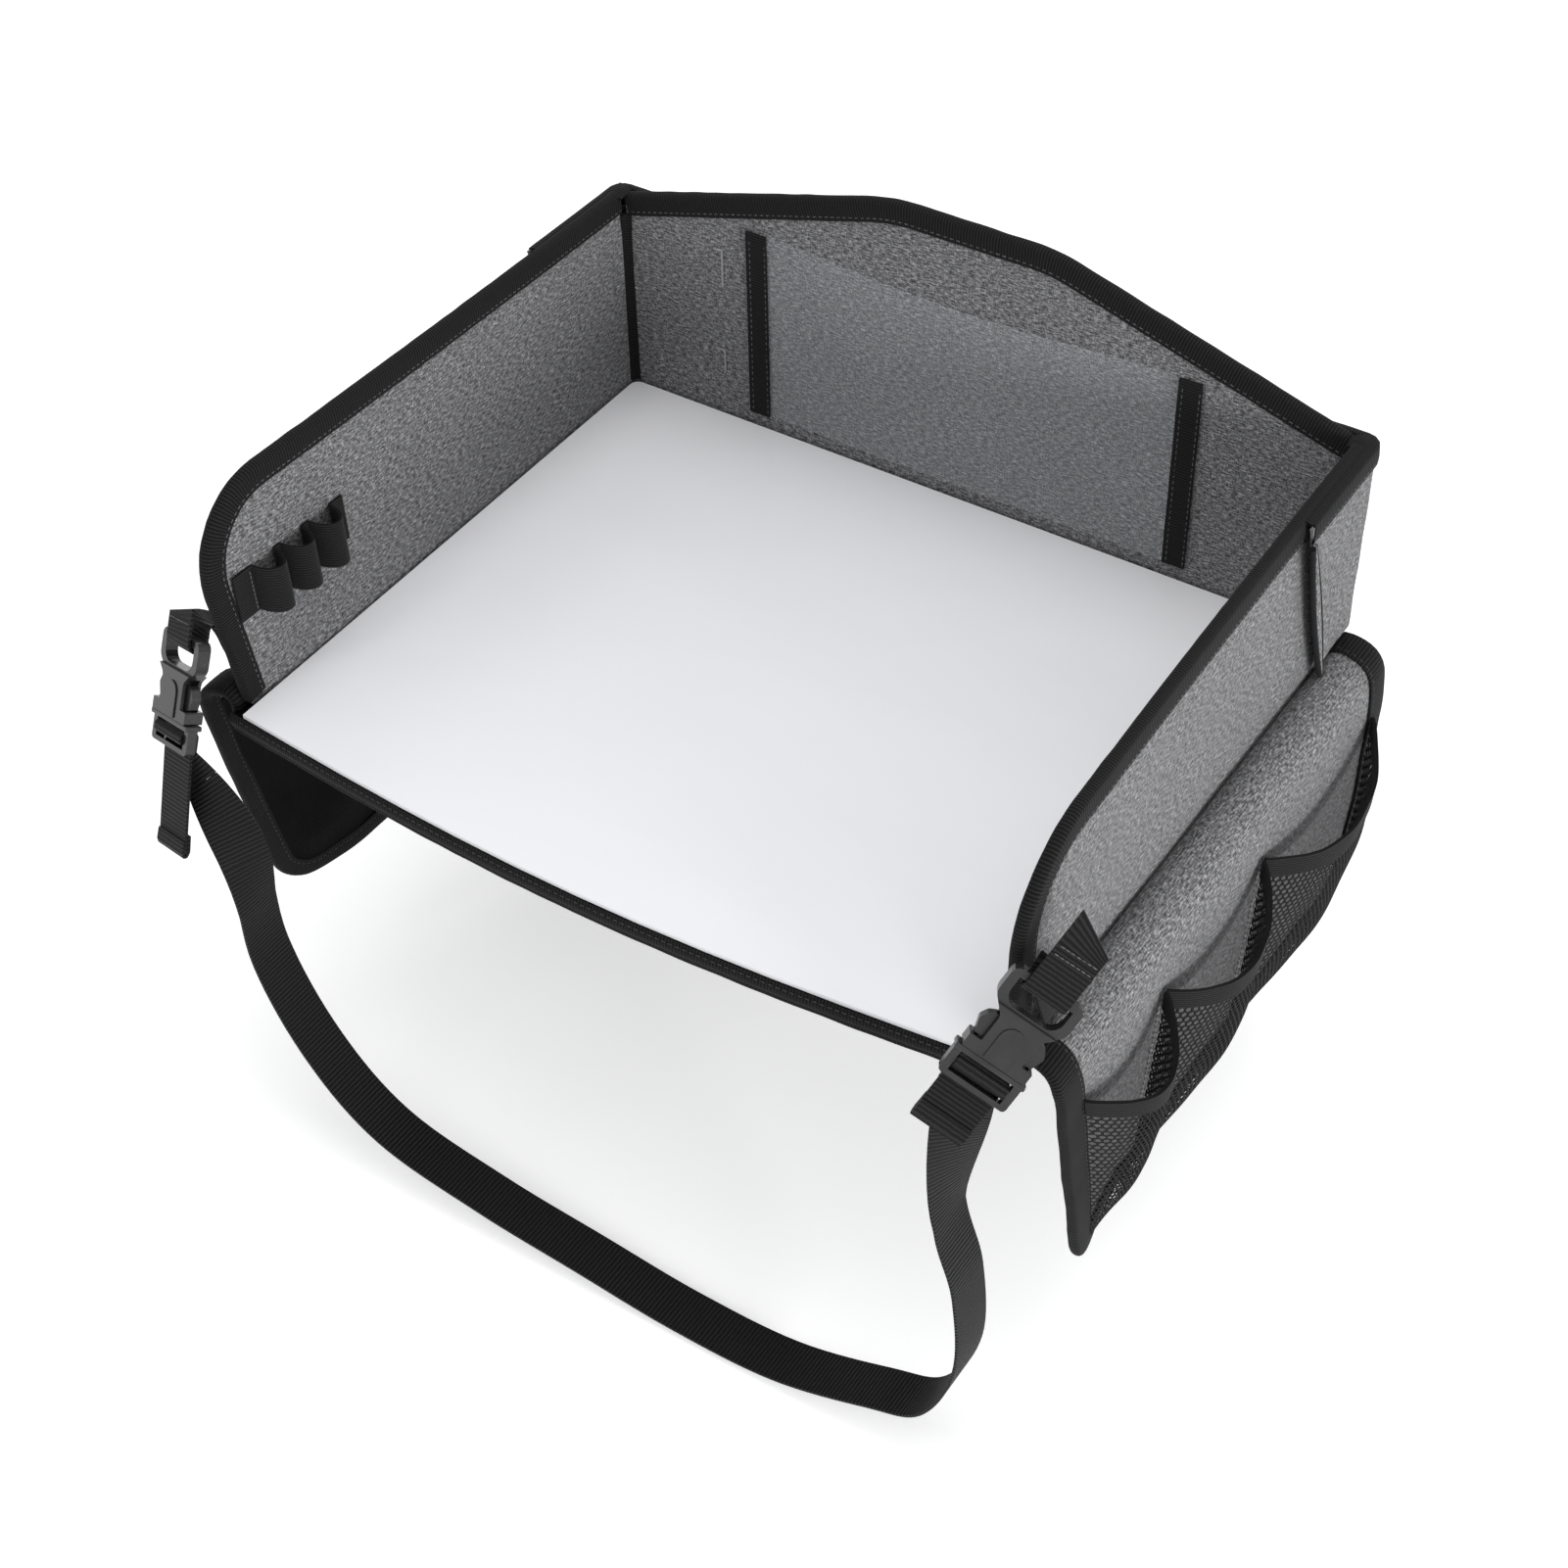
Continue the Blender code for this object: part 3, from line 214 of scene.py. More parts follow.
def build(name, verts, faces, thread, slot, body, replaces=(), sharp=40, look=None):
    """Make a piece from its points, faces and thread directions; it rides on its body when that is a
    name.
    """
    mesh = bpy.data.meshes.new(name)
    mesh.from_pydata(np.asarray(verts, float).tolist(), [], faces)
    shape = bmesh.new()
    shape.from_mesh(mesh)
    bmesh.ops.recalc_face_normals(shape, faces=shape.faces)
    shape.to_mesh(mesh)
    shape.free()
    layer = mesh.attributes.new("thread", "FLOAT_VECTOR", "POINT")
    layer.data.foreach_set("vector", np.asarray(thread, np.float32).ravel())
    mesh.materials.append(finishes[look or slot])
    mesh.shade_smooth()
    mesh.set_sharp_from_angle(angle=math.radians(sharp))
    thing = add_object(name, mesh)
    if isinstance(body, str):
        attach(thing, body)
    else:
        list(body)
        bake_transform(thing)
    if replaces:
        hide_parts(*replaces)
    return thing


def closed(front, back, faces):
    """Return the points and faces of a closed skin from a surface's two sides."""
    count = len(front)
    used = dict.fromkeys(pair for face in faces for pair in zip(face, face[1:] + face[:1]))
    skin = [list(f) for f in faces] + [[i + count for i in reversed(f)] for f in faces]
    skin += [[a + count, b + count, b, a] for a, b in used if (b, a) not in used]
    return np.concatenate([front, back]), skin


def grid_faces(rows, columns):
    """Return the quads of a grid of points."""
    corners = [r * columns + c for r in range(rows - 1) for c in range(columns - 1)]
    return [[at, at + 1, at + columns + 1, at + columns] for at in corners]


def sheet(name, lines, thick, slot, body, replaces=(), sharp=50, look=None):
    """Make a closed sheet of even thickness from lines of points that lie side by side."""
    points = np.stack(lines, 1)
    normal = unit(np.cross(np.gradient(points, axis=1), np.gradient(points, axis=0)))
    front = (points + normal * thick / 2).reshape(-1, 3)
    back = (points - normal * thick / 2).reshape(-1, 3)
    verts, faces = closed(front, back, grid_faces(*points.shape[:2]))
    thread = np.zeros(points.shape)
    for k in (0, 1):
        steps = np.linalg.norm(np.diff(points, axis=k), axis=2).mean(1 - k)
        thread[..., k] = np.expand_dims(np.concatenate([[0], np.cumsum(steps)]), 1 - k)
    thread = np.tile(thread.reshape(-1, 3), (2, 1))
    return build(name, verts, faces, thread, slot, body, replaces, sharp, look)


def cut_grid(outline, us, vs):
    """Return the points and faces of a flat outline cut along lines of constant u and v."""
    shape = bmesh.new()
    shape.faces.new([shape.verts.new((u, v, 0)) for u, v in outline])
    for places, normal in ((us, Vector((1, 0, 0))), (vs, Vector((0, 1, 0)))):
        for place in places:
            whole = shape.verts[:] + shape.edges[:] + shape.faces[:]
            bmesh.ops.bisect_plane(
                shape, geom=whole, dist=1e-6, plane_co=normal * place, plane_no=normal
            )
    shape.verts.index_update()
    points = np.array([v.co[:2] for v in shape.verts])
    faces = [[v.index for v in f.verts] for f in shape.faces]
    shape.free()
    return points, faces


def edge_distance(points, outline):
    """Return each point's distance from an outline."""
    start = np.array(outline, float)
    step = np.roll(start, -1, axis=0) - start
    away = points[:, None] - start
    share = np.clip((away * step).sum(2) / np.maximum((step**2).sum(1), 1e-16), 0, 1)
    return np.linalg.norm(points[:, None] - (start + share[..., None] * step), axis=2).min(1)


def panel(name, chart, outline, cuts, offs, slot, body, replaces=()):
    """Make a closed panel from a flat outline, a chart that bends it and its two offsets."""
    points, faces = cut_grid(outline, *cuts)
    high, low = offs(points, edge_distance(points, outline))
    verts, skin = closed(chart(points, high), chart(points, low), faces)
    thread = np.zeros((len(verts), 3))
    thread[:, :2] = np.tile(points, (2, 1)) + np.concatenate([high, low])[:, None]
    return build(name, verts, skin, thread, slot, body, replaces)


def steps_between(low, high, pitch):
    """Return the places of even cuts between two values."""
    count = max(2, int(round((high - low) / pitch)))
    return [low + (high - low) * i / count for i in range(1, count)]


def quarter(ways):
    """Return flat directions turned a quarter to the left."""
    return pairs(-ways[:, 1], ways[:, 0])


def outward_ways(path, turn):
    """Return the in-surface directions square to a path, to its left for turn 1."""
    return quarter(unit(np.gradient(path, axis=0))) * turn


def tape_section(half, lip, inner_lip, crown):
    """Return a folded tape's section as (off the surface, outward past the edge)."""
    rise = [half + TAPE_SWELL * math.sin(math.pi * k / 5) for k in range(5)]
    section = [(rise[k], -lip * (1 - k / 5)) for k in range(5)]
    for k in range(9):
        angle = math.pi * k / 8
        section.append((half * math.cos(angle), crown * math.sin(angle)))
    return section + [(-rise[k], -inner_lip * (1 - k / 5)) for k in reversed(range(5))]


def tape(name, chart, path, turn, half, lip, body, replaces=(), crown=0.0018, inner_lip=None,
         look="thread"):
    """Make binding tape folded over an edge, with its two rows of stitches."""
    path = spaced(path, 0.003)
    out = outward_ways(path, turn)
    inner_lip = inner_lip or lip
    ripple = grain(path, 90, 3.0) * TAPE_RIPPLE
    lines = [chart(path + out * (up + ripple[:, None]), off * (1 + ripple * 200))
             for off, up in tape_section(half + TAPE_THICK / 2, lip, inner_lip, crown)]
    sheet(name, lines, TAPE_THICK, "black_binding_tape", body, replaces)
    for label, side, reach in (("outer", 1, lip), ("inner", -1, inner_lip)):
        stitches(name + "_" + label + "_stitches", chart, path + out * (STITCH_INSET - reach),
                 side * (half + TAPE_THICK * 1.15), body, look=look)


def stitches(name, chart, path, off, body, pitch=STITCH_PITCH, look="thread"):
    """Make a row of sewn stitches along a path on a chart."""
    fine = spaced(path, pitch / 6)
    place = chart(fine, np.full(len(fine), off))
    span = int(round(6 * STITCH_LENGTH / pitch))
    at = 6 * np.arange((len(fine) - 1) // 6)
    at = at[at + span < len(place)]
    starts, ends = place[at], place[at + span]
    middle, half = (starts + ends) / 2, (ends - starts) / 2
    way = unit(half)
    side = unit(np.cross(way, np.where(np.abs(way[:, 2:3]) < 0.9, [[0, 0, 1.0]], [[1.0, 0, 0]])))
    up = np.cross(side, way)
    verts, count = [], STITCH_SIDES
    for share, swell in STITCH_RINGS:
        for k in range(count):
            angle = 2 * math.pi * k / count
            spoke = side * math.cos(angle) + up * math.sin(angle)
            verts.append(middle + half * share + spoke * STITCH_RADIUS * swell)
    block = np.stack([*verts, starts, ends], 1)
    per, last = block.shape[1], len(verts) - count
    one = []
    for k in range(count):
        after = (k + 1) % count
        one += [[r + k, r + after, r + after + count, r + k + count] for r in range(0, last, count)]
        one += [[per - 2, after, k], [per - 1, last + k, last + after]]
    faces = [[v + i * per for v in f] for i in range(len(block)) for f in one]
    flat = block.reshape(-1, 3)
    build(name, flat, faces, flat * 0, "black_binding_tape", body, sharp=80, look=look)


# Finishes
def feed(tree, node, inputs):
    """Give a node's inputs their values, or links from other nodes' outputs."""
    for socket, value in inputs.items():
        if isinstance(value, bpy.types.NodeSocket):
            tree.links.new(value, node.inputs[socket])
        else:
            node.inputs[socket].default_value = value
    return node


def add_node(tree, kind, inputs, **settings):
    """Add a shader node with its inputs and settings."""
    node = tree.nodes.new("ShaderNode" + kind)
    for name, value in settings.items():
        setattr(node, name, value)
    return feed(tree, node, inputs)


def maths(tree, operation, a, b):
    """Return what a math node makes of two values."""
    return add_node(tree, "Math", {0: a, 1: b}, operation=operation).outputs[0]


class Finish:
    """A material, with short ways to add the nodes that feed its shader."""

    def __init__(self, name, colour, roughness, sheen=0.0, gloss=0.5, ior=1.5, alpha=1.0):
        self.material = bpy.data.materials.new(name)
        self.material.use_nodes = True
        self.material.diffuse_color = (*colour, 1)
        self.tree = self.material.node_tree
        self.done({"Base Color": (*colour, 1), "Roughness": roughness, "Sheen Weight": sheen,
                   "Sheen Roughness": 0.4, "Specular IOR Level": gloss, "IOR": ior, "Alpha": alpha})

    def done(self, inputs):
        """Feed the shader and return the material."""
        feed(self.tree, self.tree.nodes["Principled BSDF"], inputs)
        return self.material

    def place(self, scale, source="thread"):
        """Return thread or object coordinates times a scale."""
        if source == "thread":
            start = add_node(self.tree, "Attribute", {}, attribute_name="thread").outputs["Vector"]
        else:
            start = add_node(self.tree, "TexCoord", {}).outputs["Object"]
        return add_node(self.tree, "Mapping", {"Vector": start, "Scale": scale}).outputs["Vector"]

    def noise(self, scale, detail=3.0, roughness=0.6, source="thread"):
        """Return a noise whose grains are one over the scale long."""
        return add_node(self.tree, "TexNoise", {
            "Scale": 1, "Detail": detail, "Roughness": roughness, "Vector": self.place(scale, source),
        }).outputs["Fac"]

    def ribs(self, period, axis, distortion):
        """Return ribs that repeat at a period along one thread direction."""
        return add_node(self.tree, "TexWave", {
            "Scale": math.pi / 10 / period, "Distortion": distortion, "Detail": 1,
            "Detail Scale": 2, "Vector": self.place((1, 1, 1)),
        }, bands_direction=axis).outputs["Fac"]

    def add(self, a, b):
        """Return a sum."""
        return maths(self.tree, "ADD", a, b)

    def times(self, a, b):
        """Return a product."""
        return maths(self.tree, "MULTIPLY", a, b)

    def weave(self, across, along, distortion):
        """Return the relief of crossing threads."""
        return self.times(self.ribs(across, "X", distortion), self.ribs(along, "Y", distortion))

    def stretch(self, value, low, high):
        """Return a value from 0 to 1 stretched between two others."""
        inputs = {"Value": value, "To Min": low, "To Max": high}
        return add_node(self.tree, "MapRange", inputs).outputs["Result"]

    def greys(self, value, *levels):
        """Return greys over a value, from pairs of place and level."""
        node = add_node(self.tree, "ValToRGB", {"Fac": value})
        for _ in levels[2:]:
            node.color_ramp.elements.new(0.5)
        for element, (place, level) in zip(node.color_ramp.elements, levels):
            element.position = place
            element.color = (level, level, level * 1.02, 1)
        return node.outputs["Color"]

    def bump(self, height, strength, distance):
        """Give the shader a bump from a height."""
        inputs = {"Height": height, "Strength": strength, "Distance": distance}
        self.done({"Normal": add_node(self.tree, "Bump", inputs).outputs["Normal"]})


def melange_finish():
    """Grey melange cloth: light and dark fibres woven together."""
    look = Finish("grey_melange_cloth", (0.15, 0.15, 0.155), 0.95, 0.10, 0.25)
    streak, cross = look.noise((280, 1350, 1), 4, 0.7), look.noise((1250, 420, 1), 3, 0.65)
    fibre = look.add(look.times(streak, 0.68), look.times(cross, 0.32))
    colour = look.greys(fibre, (0.40, 0.026), (0.47, 0.090), (0.53, 0.190), (0.61, 0.40))
    patch = look.stretch(look.noise((22, 30, 1), 2), 0.86, 1.12)
    tint = add_node(look.tree, "VectorMath", {0: colour, "Scale": patch}, operation="SCALE")
    look.bump(look.add(look.weave(0.0010, 0.0009, 1.5), fibre), 0.55, 0.0004)
    return look.done({"Base Color": tint.outputs["Vector"]})


def ribbed_finish(name, level, period, axis, strength, roughness, sheen, fine=0.0007):
    """Woven black narrow fabric with ribs across it, and fine ones the other way."""
    look = Finish(name, (level, level, level * 1.05), roughness, sheen, 0.22, 1.35)
    height = rib = look.ribs(period, axis, 0.8)
    if fine:
        height = look.add(rib, look.times(look.ribs(fine, "Y" if axis == "X" else "X", 0.8), 0.35))
    look.bump(height, strength, 0.0004)
    mixed = look.add(look.times(rib, 0.6), look.times(look.noise((900, 900, 1)), 0.4))
    levels = (0.25, level * 0.35), (0.55, level), (0.8, level * 2.6)
    return look.done({"Base Color": look.greys(mixed, *levels)})


def nylon_finish():
    """Smooth black nylon with soft wrinkles and a fine weave."""
    look = Finish("black_nylon_lining", (0.002, 0.002, 0.0023), 0.32, 0.0, 0.5, 1.1)
    weave = look.weave(0.0006, 0.0006, 0.3)
    look.bump(look.add(look.times(look.noise((26, 14, 1), 2), 6.0), weave), 0.5, 0.0005)
    return look.done({"Base Color": look.greys(weave, (0.0, 0.0010), (1.0, 0.0030)),
                      "Roughness": look.stretch(look.noise((60, 60, 1)), 0.26, 0.42)})


def film_finish():
    """Clear window film with faint ripples."""
    look = Finish("clear_window_film", (0.62, 0.66, 0.68), 0.10, gloss=0.8, alpha=0.07)
    look.bump(look.noise((30, 18, 1), 2), 0.25, 0.001)
    return look.done({"Roughness": look.stretch(look.noise((80, 80, 1)), 0.05, 0.16)})


def spotted_finish(name, colour, roughness, spots, levels, rough=None, relief=None, **more):
    """Faint spots in the colour, and in the gloss and the relief where these are given."""
    look = Finish(name, colour, roughness, **more)
    spots = look.noise(*spots, "object")
    if rough:
        look.done({"Roughness": look.stretch(spots, *rough)})
    if relief:
        scale, strength, distance = relief
        look.bump(look.noise((scale,) * 3, 2, 0.5, "object"), strength, distance)
    return look.done({"Base Color": look.greys(spots, *levels)})


def thread_finish(name, low, high):
    """Polyester sewing thread."""
    return spotted_finish(name, (low,) * 3, 0.5, ((500,) * 3, 3, 0.6), ((0.3, low), (0.7, high)),
                          sheen=0.1, gloss=0.4)


finishes = {
    "grey_melange_cloth": melange_finish(),
    "black_binding_tape": ribbed_finish("black_binding_tape", 0.0066, 0.0016, "X", 0.5, 0.85, 0.04),
    "black_nylon_lining": nylon_finish(),
    "black_elastic": ribbed_finish("black_elastic", 0.0085, 0.0014, "Y", 0.5, 0.85, 0.05),
    "black_net": ribbed_finish("black_net", 0.0075, 0.0008, "X", 0.4, 0.8, 0.04),
    "black_webbing": ribbed_finish("black_webbing", 0.0066, 0.0021, "X", 1.0, 0.62, 0.05, 0),
    # Satin moulded plastic with a fine grain and a few rubbed spots
    "black_plastic": spotted_finish(
        "black_plastic", (0.013, 0.0135, 0.014), 0.26, ((90,) * 3, 4, 0.6),
        ((0.3, 0.010), (0.75, 0.018)), (0.16, 0.32), (2600, 0.12, 0.0001)),
    # Glossy film with faint smears and a slight unevenness
    "white_wipe_clean_board": spotted_finish(
        "white_wipe_clean_board", (0.80, 0.80, 0.81), 0.22, ((9, 24, 9), 4, 0.6),
        ((0.3, 0.820), (0.7, 0.835)), (0.26, 0.34), (14, 0.10, 0.0006)),
    "clear_window_film": film_finish(),
    "stiffener_board": spotted_finish(
        "stiffener_board", (0.50, 0.50, 0.47), 0.8, ((300,) * 3, 4, 0.7), ((0.3, 0.42), (0.7, 0.56))),
    "thread": thread_finish("sewing_thread", 0.04, 0.13),
    "dark_thread": thread_finish("dark_sewing_thread", 0.006, 0.022),
    "pale_thread": thread_finish("pale_sewing_thread", 0.18, 0.34),
}
slots = {part["node"]: part["material_slot"] for part in frame["record"]["subparts"]}
for node, thing in frame["nodes"].items():
    thing.data.materials.clear()
    thing.data.materials.append(finishes[slots[node]])


# Walls
def wall_rise(z):
    """Return how far up a side wall a height lies, as a share."""
    return (z - WALL_FOOT) / (WALL_TOP - WALL_FOOT)


def lean_at(y, z):
    """Return how far a side wall leans out at a place."""
    forward = np.clip((BACK_FACE - y) / (BACK_FACE - WALL_LOW.y), 0, 1)
    return (SPLAY_BACK + (SPLAY_FRONT - SPLAY_BACK) * forward**1.5) * np.clip(wall_rise(z), 0, None)


def wall_chart(side):
    """Return the function that places (y, z) and an offset on a side wall."""

    def place(points, off):
        y, z = points.T
        return np.stack([SIDES[side] * (HALF_CLEAR + WALL_THICK / 2 + off + lean_at(y, z)), y, z], 1)

    return place


def back_chart(points, off):
    """Place (x, z) and an offset on the back wall, whose ends follow the side walls."""
    x, z = points.T
    room = HALF_CLEAR - BACK_HALF - BACK_END_GAP + SPLAY_BACK * np.clip(wall_rise(z), 0, 1.2)
    return np.stack([x * (1 + room / BACK_HALF), BACK_FACE + WALL_THICK / 2 + off + x * 0, z], 1)


def base_chart(points, off):
    """Place (x, y) and an offset on the base."""
    return np.stack([*points.T, (CASING_LOW.z + CASING_HIGH.z) / 2 + off], 1)


def side_wall_outline():
    """Return a side wall's outline in (y, z), from its back foot."""
    return rounded([
        (BACK_FACE - SIDE_END_GAP, WALL_FOOT, 0),
        (BACK_FACE - SIDE_END_GAP, WALL_TOP, 0),
        (WALL_LOW.y, WALL_TOP, WALL_CORNER_RADIUS),
        (WALL_LOW.y + WALL_LEAN, WALL_FOOT, 0),
    ], 10)


def back_wall_outline():
    """Return the back wall's outline in (x, z), from the right of its plateau."""
    peak = BACK_HIGH.z
    corners = [(PLATEAU / 2, peak, GABLE_RADIUS), (BACK_HALF, peak - SHOULDER_DROP, 0),
               (BACK_HALF, WALL_FOOT, 0)]
    return rounded(corners + [(-u, v, r) for u, v, r in reversed(corners)], 8)


def padded_offs(edge_path):
    """Return a wall's two offsets: full inside, slim at its taped edge, with soft dents."""

    def offs(points, far):
        near = edge_distance(points, edge_path + edge_path[::-1])
        rise = np.clip((near - WALL_TAPE_LIP) / SWELL_REACH, 0, 1)
        swell = EDGE_HALF + (WALL_THICK / 2 - EDGE_HALF) * smooth(rise)
        beside_tape = np.clip(near / SWELL_REACH - 0.9, 0, 1) * np.clip(2.2 - near / 0.02, 0, 1)
        swell += grain(points, 130, 1.0) * PUCKER * beside_tape
        dent = grain(points, 22, 5.0) * DENT * rise
        return swell + dent, dent - swell

    return offs


def wall(name, chart, outline, edge):
    """Make a wall's cloth, its board and its tape."""
    points = np.array(outline)
    low, high = points.min(0), points.max(0)
    us, vs = steps_between(low[0], high[0], 0.006), steps_between(low[1], high[1], 0.005)
    panel(name + "_cloth", chart, outline, (us, vs), padded_offs(edge), "grey_melange_cloth",
          name, [name + "_cover"])
    points = points * (0.975, 1)
    middle = (points.min(0) + points.max(0)) / 2
    inside = [tuple(p) for p in middle + (points - middle) * (0.985, 0.93)]
    panel(name + "_stiffener", chart, inside, (us[::4], vs[::4]), even(0.0015, -0.0015),
          "stiffener_board", name, [name + "_board"])
    tape(name + "_tape", chart, edge, -1, EDGE_HALF, WALL_TAPE_LIP, name, [name + "_binding"],
         inner_lip=WALL_TAPE_INNER_LIP)


side_outline = side_wall_outline()
shin, toe = np.array(side_outline[-2]), np.array(side_outline[-1])
toe = toe + (shin - toe) * (BOARD_TOP + 0.0008 - WALL_FOOT) / (shin[1] - toe[1])
for side in SIDES:
    wall(side + "_wall", wall_chart(side), side_outline, side_outline[1:-1] + [tuple(toe)])
back_outline = back_wall_outline()
back_edge = sorted((p for p in back_outline if p[1] > WALL_FOOT + 0.001), key=lambda p: -p[0])
wall("back_wall", back_chart, back_outline, back_edge)


# Base: the casing's cloth, and the piping and hem along its bowed front edge
def front_y(x):
    """Return the front edge of the base."""
    return FRONT_CORNER_Y - FRONT_BOW * np.cos(math.pi * np.asarray(x) / (2 * HALF_OUTER))


def casing_offs(points, far):
    """Return the casing's two faces: flat, with rolled edges."""
    roll = np.clip(far / 0.004, 0, 1)
    half = (CASING_HIGH.z - CASING_LOW.z) / 2 - 0.0003
    half = half * (0.72 + 0.28 * np.sqrt(1 - (1 - roll) ** 2))
    return half, -half


front_xs = np.linspace(-HALF_OUTER + 0.0006, HALF_OUTER - 0.0006, 120)
back_y = BACK_OUTER - 0.0005
casing_outline = [(x, float(front_y(x)) + 0.0004) for x in front_xs[::2]]
casing_outline += [(HALF_OUTER - 0.0005, back_y), (-HALF_OUTER + 0.0005, back_y)]
panel("base_cloth", base_chart, casing_outline,
      (steps_between(-HALF_OUTER, HALF_OUTER, 0.02), steps_between(FRONT_CORNER_Y, back_y, 0.02)),
      casing_offs, "black_nylon_lining", "base", ["base_casing"])

wave = grain(pairs(front_xs, 0), 60, 2.0)
piping, hem = [], []
for share in np.linspace(0, 1, 9):
    z = 0.0002 + (CASING_HIGH.z - 0.0001) * share + wave * 0.00025
    swell = 0.0007 + (0.0011 + wave * 0.0003) * math.sin(math.pi * share)
    piping.append(np.stack([front_xs, front_y(front_xs) - swell, z], 1))
for share in np.linspace(0, 1, 5):
    z = 0.0008 - 0.0040 * share + wave * 0.0006 * share
    bulge = 0.0010 * math.sin(math.pi * share) + 0.0006
    hem.append(np.stack([front_xs, front_y(front_xs) + 0.0012 - bulge, z], 1))
sheet("front_piping", piping, 0.0008, "black_binding_tape", "base", ["front_binding"])
sheet("front_hem", hem, 0.0010, "black_binding_tape", "base")


def front_seam_chart(points, off):
    """Place (x, z) and an offset ahead of the base's front tape."""
    x, z = points.T
    return np.stack([x, front_y(x) - 0.0019 - off, z], 1)


stitches("front_piping_stitches", front_seam_chart, [(x, 0.0066) for x in front_xs[2:-2]], 0.0003,
         "base", look="dark_thread")

# Pen band on the inside of the left wall: three loops and the flat lengths between them
pen_low, pen_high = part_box("pen_band")
at = pen_low.y + PEN_LOOP_START
pen_path, tacks = [(pen_low.y, 0.0)], [at - PEN_TACK_GAP]
for _ in range(3):
    for k in range(13):
        angle = math.pi * k / 12
        along = at + PEN_LOOP_WIDE * (1 - math.cos(angle)) / 2
        pen_path.append((along, PEN_LOOP_RISE * math.sin(angle)))
    at += PEN_LOOP_WIDE
    tacks.append(at + PEN_TACK_GAP)
    at += PEN_LOOP_GAP
pen_path = spaced([*pen_path, (pen_high.y, 0.0)], 0.0012)
left_chart, pen_seat = wall_chart("left"), -(WALL_THICK / 2 + 0.0009)
pen_v = BOARD_TOP + PEN_BAND_LOW
lines = [left_chart(pairs(pen_path[:, 0], v), pen_seat - pen_path[:, 1])
         for v in np.linspace(pen_v, pen_v + PEN_BAND_WIDTH, 7)]
pen_elastic = sheet("pen_elastic", lines, 0.0012, "black_elastic", "left_wall", ["pen_band"])
for i, y in enumerate(tacks):
    line = [(y, pen_v + 0.0015), (y, pen_v + PEN_BAND_WIDTH - 0.0015)]
    stitches(f"pen_elastic_tack_{i + 1}", left_chart, line, pen_seat - 0.0008, "left_wall", 0.0024)

# Tablet window on the back wall: two black strips, and the film behind them
window_edges = []
for side in SIDES:
    low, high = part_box(side + "_window_strip")
    seat = -(WALL_THICK / 2 + 0.0016)
    us = np.linspace(low.x, high.x, 5)
    columns = [pairs(u, np.linspace(low.z, high.z, 30)) for u in us]
    lines = [back_chart(uv, seat + grain(uv, 60, 7.0) * 0.0003) for uv in columns]
    window_edges.append(sheet(side + "_window_edge", lines, 0.0012, "black_binding_tape",
                              "back_wall", [side + "_window_strip"]))
    for label, u in (("in", us[1] * 0.75 + us[0] * 0.25), ("out", us[3] * 0.25 + us[4] * 0.75)):
        line = [(u, low.z + 0.002), (u, high.z - 0.002)]
        stitches(f"{side}_window_{label}_stitches", back_chart, line, seat - 0.0005, "back_wall")
film_low, film_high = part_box("tablet_window")
film_us = np.linspace(film_low.x - FILM_TUCK, film_high.x + FILM_TUCK, 34)
middle = 1 - (2 * (film_us - film_us[0]) / (film_us[-1] - film_us[0]) - 1) ** 2
lines = []
for rise in np.linspace(0, 1, 16):
    uv = pairs(film_us, film_low.z + (film_high.z - film_low.z) * rise)
    belly = (0.0008 + FILM_BELLY * rise) * middle**2 - grain(uv, 45, 2.0) * 0.0005 * middle
    lines.append(back_chart(uv, -(WALL_THICK / 2 + 0.0007) - belly))
window = sheet("window_film", lines, 0.0005, "clear_window_film", "back_wall", ["tablet_window"])

# Pale tacks on the back wall, beside the window, each with a tick at its top
for k, (low, high) in enumerate(TACK_HEIGHTS):
    for label, us, vs in (
        ("tack", (TACK_X - TACK_HALF, TACK_X + TACK_HALF), (low, high)),
        ("tick", (TACK_X - TICK_LONG, TACK_X - TACK_HALF), (high - 0.0012, high - 0.0002)),
    ):
        rows = [pairs(np.linspace(*us, 4), v) for v in np.linspace(*vs, 12)]
        lines = [back_chart(uv, grain(uv, 400, 3.0) * 0.0002 - WALL_THICK / 2 - 0.0010) for uv in rows]
        sheet(f"back_wall_{label}_{k + 1}", lines, 0.0005, "grey_melange_cloth", "back_wall",
              look="pale_thread")

# Back corners: gussets that lap the side walls, their tapes, and black folds inside whose black is
# partly painted shade
CORNER_ARC = CORNER_ROUND * math.pi / 2
CORNER_SHIFT = WALL_THICK / 2 + CORNER_OFF - CORNER_ROUND
CORNER_Y = BACK_FACE + CORNER_SHIFT


def corner_chart(side):
    """Return the function that places (distance past a back corner's front, z) round the corner."""

    def place(points, off):
        s, z = points.T
        angle = np.clip(s, 0, CORNER_ARC) / CORNER_ROUND
        x = HALF_CLEAR + CORNER_SHIFT + (CORNER_ROUND + off) * np.cos(angle)
        x = x - np.clip(s - CORNER_ARC, 0, None)
        y = CORNER_Y + (CORNER_ROUND + off) * np.sin(angle) + np.clip(s, None, 0)
        return np.stack([SIDES[side] * (x + lean_at(y, z)), y, z], 1)

    return place


